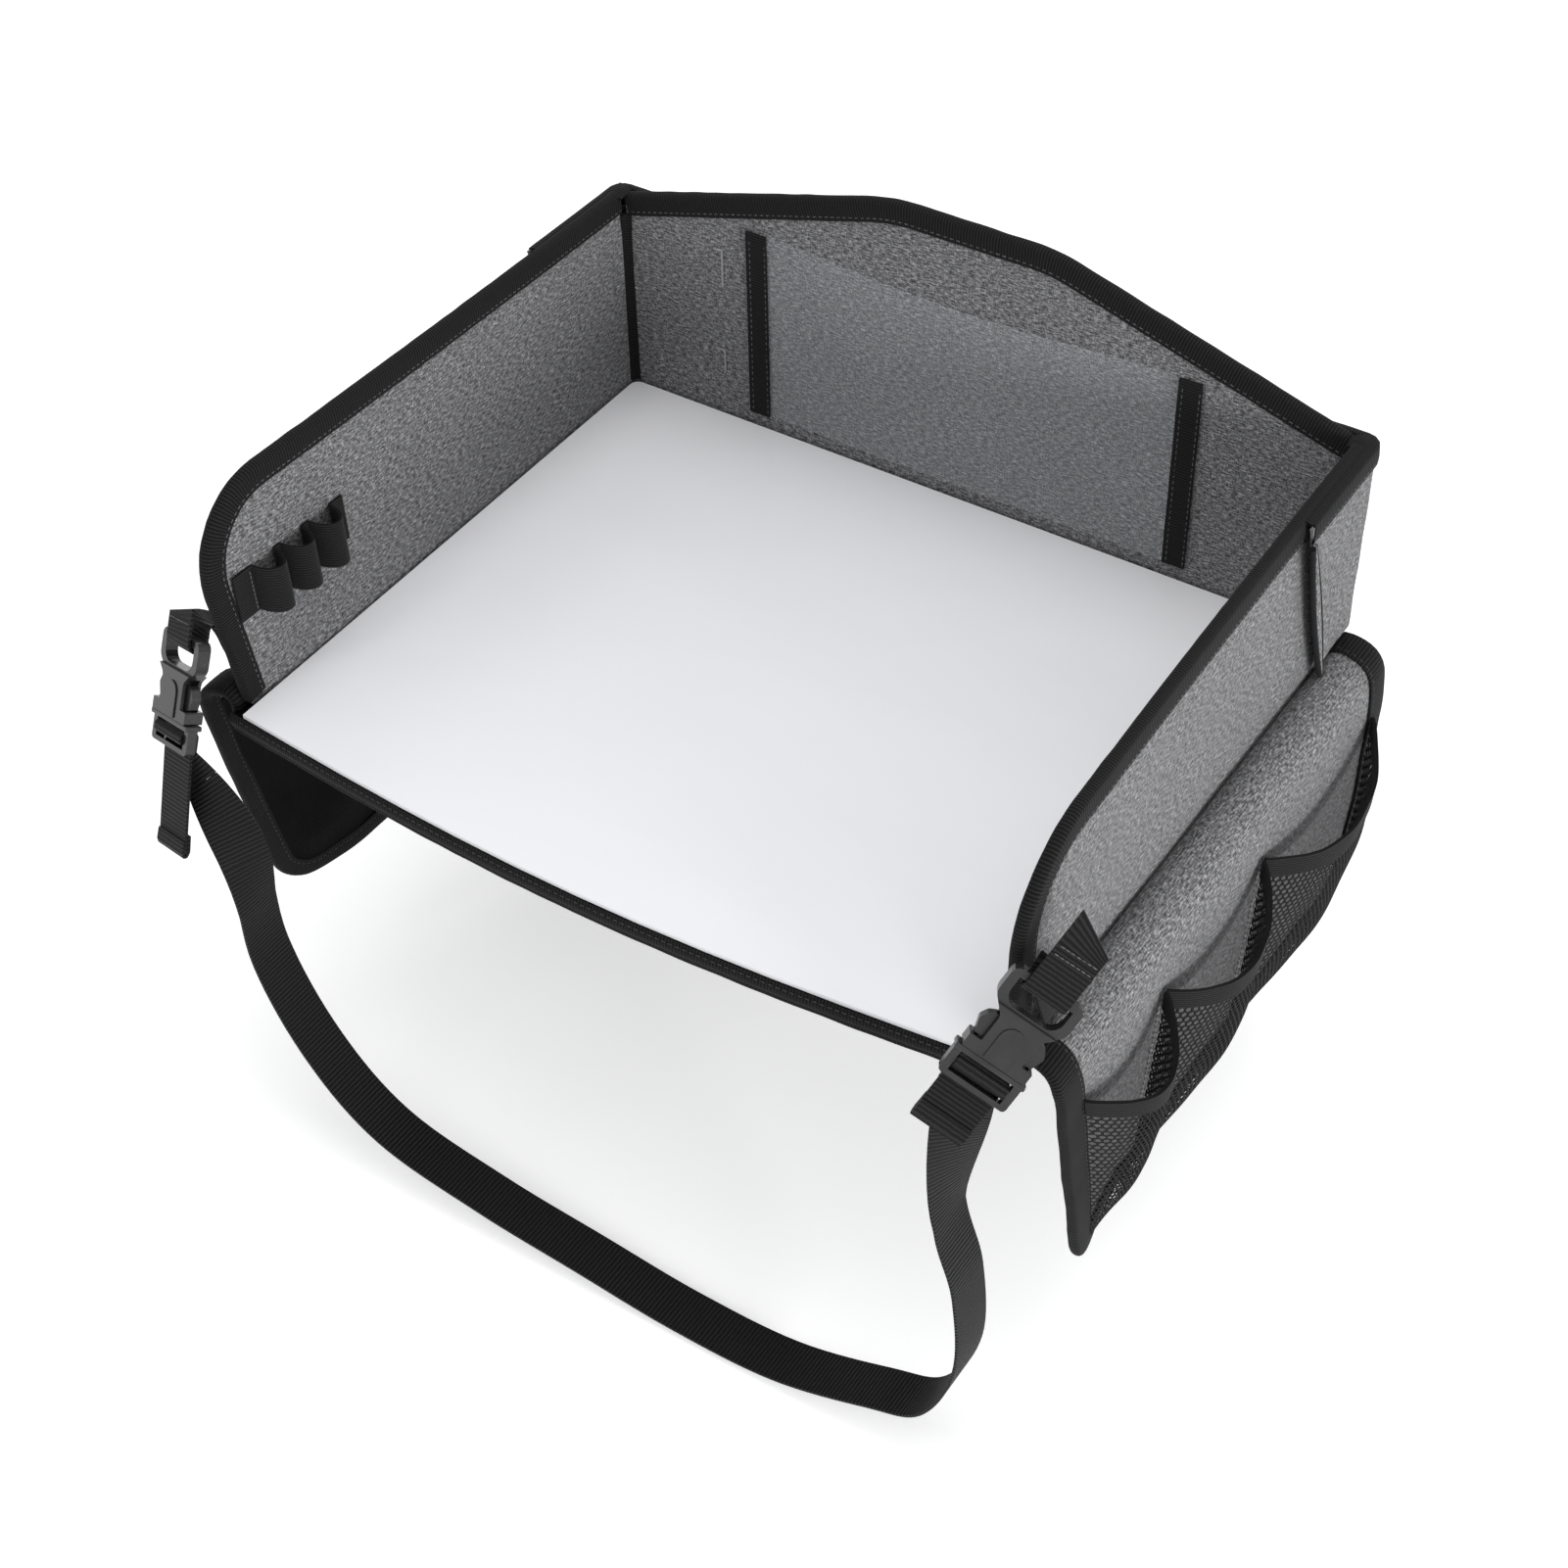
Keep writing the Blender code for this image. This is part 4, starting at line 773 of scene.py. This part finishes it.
def gusset(side, chart, foot, top, front_top, front_foot, turning):
    """Make a corner's cloth round the side wall, its leaf behind the back wall and their tapes."""
    slant = np.array([(front_top, top), (front_foot, foot)])
    way = unit(slant[1] - slant[0])

    def fold_offs(points, far):
        """Return the gusset's two faces, which stand off the wall at its free front edge."""
        away = points - slant[0]
        beside = np.abs(away[:, 0] * way[1] - away[:, 1] * way[0])
        lift = 0.0010 * np.exp(-((beside / 0.011) ** 2)) + grain(points, 40, 9.0) * 0.0005
        return lift + CORNER_HALF, lift - CORNER_HALF

    rear = CORNER_ARC + HALF_CLEAR + CORNER_SHIFT - BACK_HALF + LEAF_REACH
    heights = steps_between(foot, top, 0.006)
    outline = [(CORNER_ARC, foot), (CORNER_ARC, top), (front_top, top), (front_foot, foot)]
    cuts = steps_between(front_top, 0, 0.004) + [k * CORNER_ARC / 8 for k in range(8)]
    panel(side + "_corner_cloth", chart, outline, (cuts, heights), fold_offs, "grey_melange_cloth",
          turning, [side + "_corner_gusset"])
    outline = [(CORNER_ARC, foot), (rear, foot), (rear, top), (CORNER_ARC, top)]
    panel(side + "_corner_leaf", chart, outline, (steps_between(CORNER_ARC, rear, 0.004), heights),
          even(CORNER_HALF, -CORNER_HALF), "grey_melange_cloth", "base")
    for part, path, body, replaces in (
        ("corner", [(front_top + 0.002, top), (0, top), (CORNER_ARC, top)], turning,
         [side + "_corner_binding"]),
        ("leaf", [(CORNER_ARC, top), (rear, top)], "base", ()),
    ):
        tape(f"{side}_{part}_tape", chart, path, 1, 0.0013, 0.0095, body, replaces, 0.0013)
        start = front_top + 0.001 if part == "corner" else CORNER_ARC
        cap_path = spaced([(start, top), path[-1]], 0.002)
        lines = []
        for share in np.linspace(0, 1, 6):
            rise = 0.0018 - 0.0006 * share + 0.0004 * math.sin(math.pi * share)
            lines.append(chart(cap_path + [0, rise], -0.0034 + 0.0040 * share))
        sheet(f"{side}_{part}_cap", lines, 0.0009, "black_binding_tape", body)
    seam = [(rear - 0.003, foot + 0.003), (rear - 0.003, top - 0.012)]
    stitches(side + "_leaf_stitches", chart, seam, CORNER_HALF + 0.0002, "base")


def bound_fold(side, chart, path, body):
    """Make the narrow fold that ends a gusset on the side wall, with a round binding."""
    share = np.linspace(0, 1, len(path))
    spread = 0.0039 * np.sin(math.pi * np.clip(share * 0.86 + 0.10, 0, 1)) ** 0.7
    lines = []
    for across in np.linspace(-1, 1, 7):
        off = FOLD_STAND + 0.0010 * (1 - across * across)
        lines.append(chart(path + pairs(spread * across, 0), off))
    sheet(side + "_corner_fold", lines, 0.0010, "grey_melange_cloth", body)
    tip = [path[-1] + [0, -0.0014]]
    spread = pairs(spread, 0)
    edge = spaced(np.concatenate([path - spread, tip, (path + spread)[::-1]]), 0.0020)
    way, count, ring = outward_ways(edge, 1), len(edge), 11
    girth = np.interp(np.linspace(0, 1, count), (0, 0.44, 0.56, 1), (0.0015, 0.0014, 0.0009, 0.0007))
    lines = []
    for k in range(ring):
        angle = 2 * math.pi * k / ring
        uv = edge + way * (girth * math.cos(angle))[:, None]
        lines.append(chart(uv, FOLD_STAND + 0.0004 + girth * math.sin(angle)))
    faces = [[i * ring + k, i * ring + j, (i + 1) * ring + j, (i + 1) * ring + k]
             for i in range(count - 1) for k, j in zip(range(ring), [*range(1, ring), 0])]
    faces += [list(range(ring))[::-1], list(range((count - 1) * ring, count * ring))]
    thread = np.zeros((count * ring, 3))
    thread[:, 0] = np.repeat(np.arange(count) * 0.002, ring)
    build(side + "_corner_fold_edge", np.stack(lines, 1).reshape(-1, 3), faces, thread,
          "black_binding_tape", body)


for side, sign in SIDES.items():
    low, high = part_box(side + "_corner_gusset")
    foot, top = low.z, high.z - 0.0012
    front_top, front_foot = low.y - 0.010 - CORNER_Y, low.y + 0.024 - CORNER_Y
    chart, wall_body = corner_chart(side), side + "_wall"
    turning = ("base", wall_body, (sign * HALF_OUTER, 0.1575, top), (sign * HALF_OUTER, 0.1280, top))
    gusset(side, chart, foot, top, front_top, front_foot, turning)
    slant = [(front_top - 0.001, top - 0.008), (front_foot - 0.0006, foot - 0.0016)]
    bound_fold(side, chart, spaced(slant, 0.002), wall_body)

    # The patch that closes the corner's top, and the fold inside the corner, made of black tape that is
    # partly painted shade in the corner's crease
    ys = np.linspace(BACK_FACE - 0.0046, BACK_OUTER + 0.0012, 7)
    swell = 0.0012 * np.sin(math.pi * np.linspace(0, 1, 7))
    lines = []
    for across in np.linspace(0, 1, 7):
        x = sign * (HALF_CLEAR - 0.0008 + (WALL_THICK + 0.0024) * across)
        lines.append(np.stack([ys * 0 + x, ys, 0.1243 + swell * math.sin(math.pi * across)], 1))
    sheet(side + "_corner_patch", lines, 0.0010, "black_binding_tape", "base")
    # A fold of black tape down the inside corner: partly the cloth's fold, partly painted shade of the
    # dark gap between the walls
    zs = np.linspace(BOARD_TOP + 0.0005, WALL_TOP - WALL_TAPE_LIP + 0.001, 30)
    lines = []
    for angle in np.linspace(0, math.pi / 2, 7):
        uv = pairs(BACK_FACE - INNER_FOLD * (1 - math.sin(angle)), zs)
        off = -(WALL_THICK / 2 + 0.0004) - INNER_FOLD * (1 - math.cos(angle))
        lines.append(wall_chart(side)(uv, off + grain(uv, 50, 4.0) * 0.0004))
    sheet(side + "_inner_fold", lines, 0.0010, "black_binding_tape", "back_wall")


# Side flaps: one cloth from the base's crease over the ridge and down, points in (x, z)
RIDGE = [
    (0.2128, 0.0046), (0.2132, 0.0090), (0.2155, 0.0122), (0.2175, 0.0128), (0.2240, 0.0119),
    (0.2300, 0.0090), (0.2340, 0.0035), (0.2356, -0.0040), (0.2363, -0.0120), (0.2364, -0.0230),
]
FLAP_BEND = ((0.2150, 0.0080), (0.2362, -0.0100))
FLAP_TIP_RADIUS = 0.026
WAVE, DRAW, RUMPLE = 0.0016, 0.0105, 0.0005
POCKET_SHARES = {"front": 0.27, "middle": 0.33, "rear": 0.40}
POCKET_SIDE, POCKET_GAP, POCKET_TOP, POCKET_DIP = 0.0130, 0.0012, 0.018, 0.014
POCKET_FOOT, POCKET_BULGE, POCKET_BAND, POCKET_SEAT = 0.0072, 0.021, 0.011, 0.0034
POCKET_SPARE = 1.14
NET_PITCH, NET_STRAND, NET_DEEP = 0.0036, 0.00105, 0.00035
flap_front, flap_back, flap_foot = FLAP_LOW.y, FLAP_HIGH.y, FLAP_LOW.z
flap_setback = FLAP_SETBACK + 0.014


def curve_through(points, steps):
    """Return a smooth line through points."""
    points = np.array(points, float)
    ends = np.concatenate([points[:1], points, points[-1:]])
    line = []
    for a, b, c, d in zip(ends, ends[1:], ends[2:], ends[3:]):
        for k in range(steps):
            t = k / steps
            bend, twist = a * 2 - b * 5 + c * 4 - d, b * 3 - a - c * 3 + d
            line.append((b * 2 + (c - a) * t + bend * t * t + twist * t**3) / 2)
    return np.array([*line, points[-1]])


profile = curve_through(RIDGE + [(RIDGE[-1][0], -0.0600), (RIDGE[-1][0], flap_foot - 0.02)], 10)
profile = spaced(profile, 0.0010)
profile_way = unit(np.gradient(profile, axis=0))
profile_s = run(profile)


def s_at(z):
    """Return how far down the flap's cloth a height below the ridge lies."""
    outer = profile[:, 0] > 0.233
    return float(np.interp(-z, -profile[outer][:, 1], profile_s[outer]))


S_PIVOT, S_FOOT = s_at(FLAP_Z), s_at(flap_foot)


def flap_chart(side):
    """Return the function that places (y, distance down the cloth) and an offset on a flap."""

    def place(points, off):
        y, s = points.T
        x, z, wx, wz = (np.interp(s, profile_s, column) for column in (*profile.T, *profile_way.T))
        hang = np.clip((s - S_PIVOT) / 0.06, 0, 1)
        off = off + hang * grain(pairs(y, s * 0.4), 16, 3.0 if side == "right" else 8.0) * WAVE
        drawn = smooth(np.clip((y - flap_front - 0.012) / 0.07, 0, 1))
        drawn = drawn * (1 - 0.35 * np.clip((y - 0.05) / 0.1, 0, 1))
        off = off - DRAW * drawn * np.clip((s - S_PIVOT) / (S_FOOT - S_PIVOT), 0, 1.05) ** 1.6
        off = off + np.clip(s / 0.02, 0, 1) * grain(points, 42, 6.0) * RUMPLE
        return np.stack([SIDES[side] * (x - wz * off), y, z + wx * off], 1)

    return place


def flap_outline(inset, top):
    """Return a flap's outline in (y, distance down), from its front top."""
    return rounded([
        (flap_front + inset, top, 0),
        (flap_front + inset, max(S_PIVOT, top + 0.001), 0),
        (flap_front + flap_setback + inset, S_FOOT - inset, FLAP_TIP_RADIUS - inset),
        (flap_back - inset, S_FOOT - inset, FLAP_CORNER_RADIUS - inset),
        (flap_back - inset, top, 0),
    ], 10)


def lining_offs(points, far):
    """Return the lining's two faces, slack and wrinkled."""
    slack = np.clip(far / 0.02, 0, 1) * (0.0024 + grain(points * [1.0, 0.6], 34, 12.0) * 0.0030)
    return np.full(len(points), -0.0012), -0.0018 - slack


def pocket_spans():
    """Return each pocket's front and back ends along the flap."""
    front, spans = flap_front + POCKET_SIDE, []
    room = flap_back - flap_front - 2 * POCKET_SIDE - POCKET_GAP * (len(POCKET_SHARES) - 1)
    for share in POCKET_SHARES.values():
        spans.append((front, front + room * share))
        front += room * share + POCKET_GAP
    return spans


def pocket_foot(y):
    """Return the distance down of the pockets' foot at y, which rises at the flap's corners."""
    edge = np.minimum(y - flap_front - flap_setback, flap_back - y)
    corner = np.where(y < 0, FLAP_TIP_RADIUS, FLAP_CORNER_RADIUS)
    radius = corner - POCKET_FOOT
    side = np.clip(corner - edge, 0, radius * 0.97)
    rise = corner - np.sqrt(np.maximum(radius**2 - side**2, 0))
    return S_FOOT - np.where(edge >= corner, POCKET_FOOT, rise)


def pocket_place(chart, front, back, first):
    """Return the function that places shares (u, v) of a pocket, mouth at v = 1."""

    def place(u, v, drop=0.0, over=0.0):
        mouth = S_PIVOT + POCKET_TOP + POCKET_DIP * np.sin(math.pi * u)
        shift = flap_setback if first else 0
        foot = pocket_foot(front + shift + (back - front - shift) * u)
        s = foot + (mouth - foot) * v + drop
        shift = shift * (s - S_PIVOT) / (S_FOOT - S_PIVOT)
        points = pairs(front + shift + (back - front - shift) * u, s)
        u, v = np.clip(u, 0, 1), np.clip(v, 0, 1)
        swell = np.sin(math.pi * u) ** 0.8 * np.sin(math.pi / 2 * v**0.7)
        slack = grain(points, 30, 11.0) * 0.0012 * np.clip(swell * 2, 0, 1)
        return chart(points, POCKET_SEAT + POCKET_BULGE * swell + slack + over)

    return place


def hex_strands(wide, high, pitch):
    """Return the two ends of each strand of a hexagonal net, clipped to a rectangle."""
    a = pitch / math.sqrt(3)
    ends = []
    for row in range(-1, int(high / (1.5 * a)) + 2):
        for column in range(-1, int(wide / pitch) + 2):
            x, y = (column + (row % 2) / 2) * pitch, row * 1.5 * a
            top = (x, y + a / 2)
            ends += [((x - pitch / 2, y), top), (top, (x + pitch / 2, y)), (top, (x, y + 1.5 * a))]
    ends = np.array(ends)
    inside = ((ends > 0) & (ends < (wide, high))).all(2).any(1)
    return np.clip(ends[inside], [0, 0], [wide, high])


def net(name, place, wide, high, body, replaces):
    """Make a hexagonal net of flat strands on a pocket, and return it with its strands' area."""
    starts, stops = hex_strands(wide, high, NET_PITCH).swapaxes(0, 1)
    length = np.linalg.norm(stops - starts, axis=1)
    keep = length > NET_PITCH * 0.1
    starts, stops, length = starts[keep], stops[keep], length[keep]
    way = unit(stops - starts)
    side, reach = quarter(way) * NET_STRAND / 2, way * NET_STRAND * 0.18
    corners = [starts - reach + side, starts - reach - side, stops + reach - side, stops + reach + side]
    flat = np.clip(np.stack(corners, 1).reshape(-1, 2), [0, 0], [wide, high])
    u, v = flat.T / [[wide], [high]]
    count = len(flat)
    verts = np.concatenate([place(u, v, over=NET_DEEP / 2), place(u, v, over=-NET_DEEP / 2)])
    faces = []
    for k in range(0, count, 4):
        quad = [k, k + 1, k + 2, k + 3]
        faces += [quad, [i + count for i in reversed(quad)]]
        faces += [[q, p, p + count, q + count] for p, q in zip(quad, quad[1:] + quad[:1])]
    thread = np.zeros((2 * count, 3))
    thread[:, :2] = np.tile(flat, (2, 1))
    made = build(name, verts, faces, thread, "black_net", body, replaces, 60)
    return made, float(length.sum()) * (NET_STRAND + NET_DEEP)


flap_nets, flap_bands, flap_cloths, flap_linings = [], [], [], []
for side, sign in SIDES.items():
    chart, flap_body = flap_chart(side), side + "_flap"
    bend = ("base", flap_body, *((sign * x, 0, z) for x, z in FLAP_BEND))
    outline = flap_outline(0.0, 0.0)
    cuts = (steps_between(flap_front, flap_back, 0.006), steps_between(0, S_FOOT, 0.0035))
    flap_cloths.append(panel(
        side + "_flap_cloth", chart, outline, cuts, even(0.0012, -0.0008), "grey_melange_cloth", bend,
        [side + "_flap_gusset", side + "_flap_panel", side + "_flap_seam"]))
    cuts = (cuts[0], steps_between(S_PIVOT, S_FOOT, 0.006))
    flap_linings.append(panel(
        side + "_flap_inner", chart, flap_outline(0.0015, S_PIVOT + LINING_DROP), cuts, lining_offs,
        "black_nylon_lining", flap_body, [side + "_flap_lining"]))
    tape(side + "_flap_tape", chart, outline, 1, 0.0019, FLAP_TAPE_LIP, bend,
         [side + "_flap_binding"], 0.0016, FLAP_TAPE_INNER_LIP, "dark_thread")
    for i, (name, (front, back)) in enumerate(zip(POCKET_SHARES, pocket_spans())):
        place = pocket_place(chart, front, back, name == "front")
        wide = (back - front) * POCKET_SPARE
        high = S_FOOT - POCKET_FOOT - S_PIVOT - POCKET_TOP - POCKET_DIP / 2
        made, area = net(f"{side}_{name}_mesh", place, wide, high, flap_body, [f"{side}_{name}_net"])
        flap_nets.append((made, wide, high, area))
        u, lines = np.linspace(0, 1, 46), []
        for share in np.linspace(0, 1, 6):
            sway = grain(pairs(u * 0.1, share * 0.01), 60, 5.0 + i) * 0.0006
            lines.append(place(u, u * 0 + 1, POCKET_BAND * share, sway + 0.0002))
        flap_bands.append((sheet(f"{side}_{name}_elastic", lines, 0.0016, "black_elastic", flap_body,
                                 [f"{side}_{name}_pocket_band"]), wide))
        for y in (front + 0.0012, back - 0.0012):
            if name == "front" and y < back - 0.0012:
                continue
            line = [(y, S_PIVOT + POCKET_TOP + 0.001), (y, S_FOOT - POCKET_FOOT - 0.004)]
            seam = f"{side}_pocket_seam_{int((y - flap_front) * 1000)}"
            stitches(seam, chart, line, 0.0018, flap_body)
    line = [(flap_front + 0.014, 0.0035), (flap_back - 0.014, 0.0035)]
    stitches(side + "_crease_stitches", chart, line, 0.0014, "base")

# Belt: web tabs, strap and buckles
WEB_WIDTH, WEB_THICK, WEB_GAP = 0.025, 0.0014, 0.0003
TAB_WIDTH = 0.0205
BUCKLE_SEATS = {
    "left": (0.0164, 0.0032, 0.0485, (0.667, 0.111, -0.333)),
    "right": (0.0197, 0.0036, 0.0689, (0.533, -0.311, 0.556)),
}
STRAP_ROUTE = (
    (-0.895, -0.195), (-0.865, -0.476), (-0.740, -0.718), (-0.550, -0.879), (-0.256, -0.944),
    (0.033, -0.974), (0.313, -1.000), (0.592, -0.991), (0.850, -0.913), (0.990, -0.844),
    (1.070, -0.650), (1.062, -0.420), (1.010, -0.216),
)
STRAP_DROP, STRAP_PLANE, STRAP_PITCH = 0.2245, 0.200, 0.0022
# The ladder lock's bars and slots, back from the plug's mouth
LADDER = [-0.0411, -0.0449, -0.0473, -0.0511, -0.0535]
# Per side: the tail's length, its droop, its rounding, and the steps in which the strap untwists
TAILS = {"left": (0.050, 0.004, 0.012, 12), "right": (0.022, 0.0, 0, 9)}
# Per side: the tab's free end past its bar, its slanted cut, and its rows of stitches
TAB_ENDS = {"left": (0.014, 0.006, (0.0085,)), "right": (0.031, -0.011, (0.0150, 0.0190))}
TAB_FOOT, TAB_RISE = (0.2146, -0.138, 0.0095), (0.006, 0, 0.014)


def buckle_frame(side):
    """Return the matrix of a buckle: X across, -Y from its web bar to the plug, Z outward."""
    outward, forward, height, (pitch, yaw, roll) = BUCKLE_SEATS[side]
    place = (SIDES[side] * (HALF_OUTER + outward), FRONT_CORNER_Y - forward, height)
    turn = Euler([share * math.pi / 2 for share in (pitch, roll, yaw)], "YXZ")
    return Matrix.Translation(place) @ turn.to_matrix().to_4x4()


def in_buckle(side, points):
    """Return points (y, z) on the middle of a buckle's own frame in the row's frame."""
    return np.array([buckle_frame(side) @ Vector((0, y, z)) for y, z in points])


def web(name, places, sideways, body, replaces=(), cut=0.0, pitch=STRAP_PITCH, width=WEB_WIDTH):
    """Make a length of webbing along a line, with a slanted end if cut."""
    places, side = spaced(places, pitch, sideways)
    way = unit(np.gradient(places, axis=0))
    side = unit(side - way * (side * way).sum(1, keepdims=True))
    lines = [places + side * share * width for share in WEB_SHARES]
    for line, share in zip(lines, WEB_SHARES):
        for back in range(6):
            line[-1 - back] += way[-1] * share * cut * (1 - back / 6)
    made = sheet(name, lines, WEB_THICK, "black_webbing", body, replaces)
    float(run(places)[-1])


def lock_line(side):
    """Return the strap's line through a ladder lock, from its tail, in the buckle's (y, z)."""
    tail, droop, radius, _ = TAILS[side]
    return rounded([
        (LADDER[4] - tail, -lock_over - droop, 0),
        (LADDER[4] - 0.004, -lock_over, radius),
        (LADDER[2] - lock_room, -lock_over, 0.0012),
        (LADDER[2] - lock_room, lock_over, 0.0012),
        (LADDER[1] + lock_room, lock_over, 0.0012),
        (LADDER[1] + lock_room, -lock_over - WEB_THICK - WEB_GAP, 0.0012),
        (LADDER[4] - 0.0024, -lock_over - WEB_THICK - WEB_GAP, 0),
    ], 4)


WEB_SHARES = np.linspace(-0.5, 0.5, 7)
lock_room = WEB_THICK / 2 + WEB_GAP
lock_over = 0.0025 + lock_room
locks = {side: in_buckle(side, lock_line(side)) for side in SIDES}
across = {side: np.array((buckle_frame(side).to_3x3() @ Vector((1, 0, 0))).normalized())
          for side in SIDES}
loop = curve_through([
    locks["left"][-1],
    *((HALF_CLEAR * x, -STRAP_PLANE, STRAP_DROP * z) for x, z in STRAP_ROUTE),
    locks["right"][-1],
], 8)
sideways = []
for i in range(len(loop)):
    left = max(0, 1 - i / TAILS["left"][3])
    right = max(0, 1 - (len(loop) - 1 - i) / TAILS["right"][3])
    level = np.array([0, 1 - left - right, 0])
    sideways.append(level + across["left"] * left + across["right"] * right)
loop, sideways = spaced(loop, STRAP_PITCH, sideways)
# Steps from a plug at which the strap's top, its leg and its middle meet
TOP, MID, LEG = 8, 28, 48
web("strap_middle", loop[LEG:-LEG], sideways[LEG:-LEG], "base", ["strap"])
for side, sign in SIDES.items():
    line, ways = (loop, sideways) if side == "left" else (loop[::-1], sideways[::-1])
    plug_body, socket_body, lock = side + "_plug_body", side + "_socket_body", locks[side]
    web(side + "_strap_end", np.concatenate([lock[:-1], line[: TOP + 1]]),
        np.concatenate([lock[:-1] * 0 + across[side], ways[: TOP + 1]]), plug_body, pitch=0.0011)
    for name, body, start, first, last in (
            ("top", plug_body, TOP, TOP, MID), ("leg", "base", LEG, MID, LEG)):
        web(f"{side}_strap_{name}", line[first : last + 1], ways[first : last + 1],
            (body, socket_body, tuple(line[start]), tuple(line[MID])))
    tail, droop, *_ = TAILS[side]
    hem = [(LADDER[4] - tail + y, -lock_over - droop + z) for y, z in (
        (0.009, -0.0009), (0.001, -0.0017), (-0.0014, -0.0008), (-0.0016, 0.0006), (0.0004, 0.0014),
        (0.0060, 0.0013))]
    web(side + "_strap_hem", in_buckle(side, hem), [across[side]] * 6, plug_body, pitch=0.0008)

    reach, cut, rows = TAB_ENDS[side]
    fold = math.hypot(0.0036, 0.0066) / 2 + lock_room
    turn = [(-fold * math.sin(math.pi * k / 12), -fold * math.cos(math.pi * k / 12)) for k in range(13)]
    round_bar = in_buckle(side, [*turn, (reach, fold)])
    under = in_buckle(side, [(0.0090, -fold - 0.0016), (0.0030, -fold)])
    foot = np.array(TAB_FOOT) * (sign, 1, 1)
    rise = foot + np.array(TAB_RISE) * (sign, 1, 1)
    middle = (rise + under[0]) / 2
    leg_line = curve_through([foot, rise, middle, *under, round_bar[0]], 8)
    share = np.clip((np.linspace(0, 1, len(leg_line)) - 0.25) / 0.40, 0, 1)[:, None]
    ways = np.array((0, math.copysign(1, across[side][1]), 0)) * (1 - share) + across[side] * share
    web(side + "_tab_web", np.concatenate([leg_line[:-1], round_bar]),
        np.concatenate([ways[:-1], round_bar * 0 + across[side]]),
        ("base", socket_body, tuple(foot), tuple(middle)), [side + "_web_tab"], cut, width=TAB_WIDTH)

    def tab_chart(points, off, matrix=buckle_frame(side)):
        """Place (x, y) and an offset on the face of a web tab's free end."""
        return np.array([matrix @ Vector((*p, fold + o)) for p, o in zip(points, off)])

    for k, y in enumerate(rows):
        stitches(f"{side}_tab_stitches_{k + 1}", tab_chart, [(-0.0090, y), (0.0090, y + 0.0004)],
                 WEB_THICK / 2 + 0.0002, socket_body, 0.0026)

# Loops over the soft pieces and reads each corner leaf's size, setting nothing
pieces = bpy.data.objects
for side in ("left", "right", "back"):
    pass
for made in flap_cloths:
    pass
for side, edge in zip(SIDES, window_edges):
    low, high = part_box(side + "_corner_gusset")
    leaf = pieces[side + "_corner_leaf"]
    low, high = (Vector(f(v.co[k] for v in leaf.data.vertices) for k in range(3)) for f in (min, max))
for made in flap_linings:
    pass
for made, wide, high, area in flap_nets:
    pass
for made, wide in flap_bands:
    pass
float(run(pen_path)[-1])

# Camera, light and floor
scene = bpy.context.scene
camera = add_object("camera", bpy.data.cameras.new("camera"))
camera.data.lens = 66.96
camera.data.sensor_width = 36
azimuth, elevation, roll = (math.radians(a) for a in (33.554, 42.650, -1.030))
back = Vector((math.sin(azimuth) * math.cos(elevation), -math.cos(azimuth) * math.cos(elevation),
               math.sin(elevation)))
right = Vector((math.cos(azimuth), math.sin(azimuth), 0))
up = back.cross(right)
turned = right * math.cos(roll) + up * math.sin(roll)
level = up * math.cos(roll) - right * math.sin(roll)
camera.matrix_world = (
    Matrix.Translation((0.5876, -0.8945, 0.9216)) @ Matrix((turned, level, back)).transposed().to_4x4()
)
scene.camera = camera
scene.view_settings.view_transform = "Standard"
for name, place, target, size, power in (
    ("overhead", (0.15, 0.1, 1.9), (0, 0, 0), (1.6, 1.6), 17),
    ("right_low", (2.3, -0.75, 0.34), (0.22, -0.02, 0.04), (1.3, 0.42), 45),
    ("spark", (-0.5, -1.3, 1.5), (0, -0.1, 0), (0.16, 0.9), 2.5),
    ("front_left", (-1.3, -1.6, 1.1), (0, 0, 0), (1.2, 1.2), 4),
):
    lamp = add_object(name, bpy.data.lights.new(name, "AREA"))
    lamp.data.shape = "RECTANGLE"
    lamp.data.size, lamp.data.size_y = size
    lamp.data.energy = power
    lamp.location = place
    lamp.rotation_euler = (Vector(target) - lamp.location).to_track_quat("-Z", "Y").to_euler()


def background_rays(tree):
    """Return 1 for the rays that see the background."""
    rays = add_node(tree, "LightPath", {}).outputs
    seen = maths(tree, "MAXIMUM", rays["Is Camera Ray"], rays["Is Glossy Ray"])
    return maths(tree, "MAXIMUM", seen, rays["Is Transmission Ray"])


# A pale floor that brightens into the background with the distance
floor = add_object("floor", bpy.data.meshes.new("floor"))
floor.data.from_pydata([(-6, -6, 0), (6, -6, 0), (6, 6, 0), (-6, 6, 0)], [], [[0, 1, 2, 3]])
floor.location.z = FLOOR_Z - 0.004
look = Finish("floor", (0.86, 0.86, 0.86), 0.9)
place = add_node(look.tree, "TexCoord", {}).outputs["Object"]
reach = add_node(look.tree, "VectorMath", {0: place}, operation="LENGTH").outputs["Value"]
brighten = add_node(look.tree, "MapRange", {
    "Value": reach, "From Min": 0.6, "From Max": 2.6, "To Min": 0.42, "To Max": 0.95,
}).outputs["Result"]
glow = look.times(background_rays(look.tree), brighten)
floor.data.materials.append(look.done({"Emission Color": (1, 1, 1, 1), "Emission Strength": glow}))

world = bpy.data.worlds.new("studio")
scene.world = world
world.use_nodes = True
tree = world.node_tree
light = feed(tree, tree.nodes["Background"], {"Color": (0.97, 0.98, 1.0, 1), "Strength": 0.57})
white = add_node(tree, "Background", {"Color": (1, 1, 1, 1), "Strength": 1.0})
mix = add_node(tree, "MixShader", {
    "Fac": background_rays(tree), 1: light.outputs["Background"], 2: white.outputs["Background"],
})
feed(tree, tree.nodes["World Output"], {"Surface": mix.outputs["Shader"]})
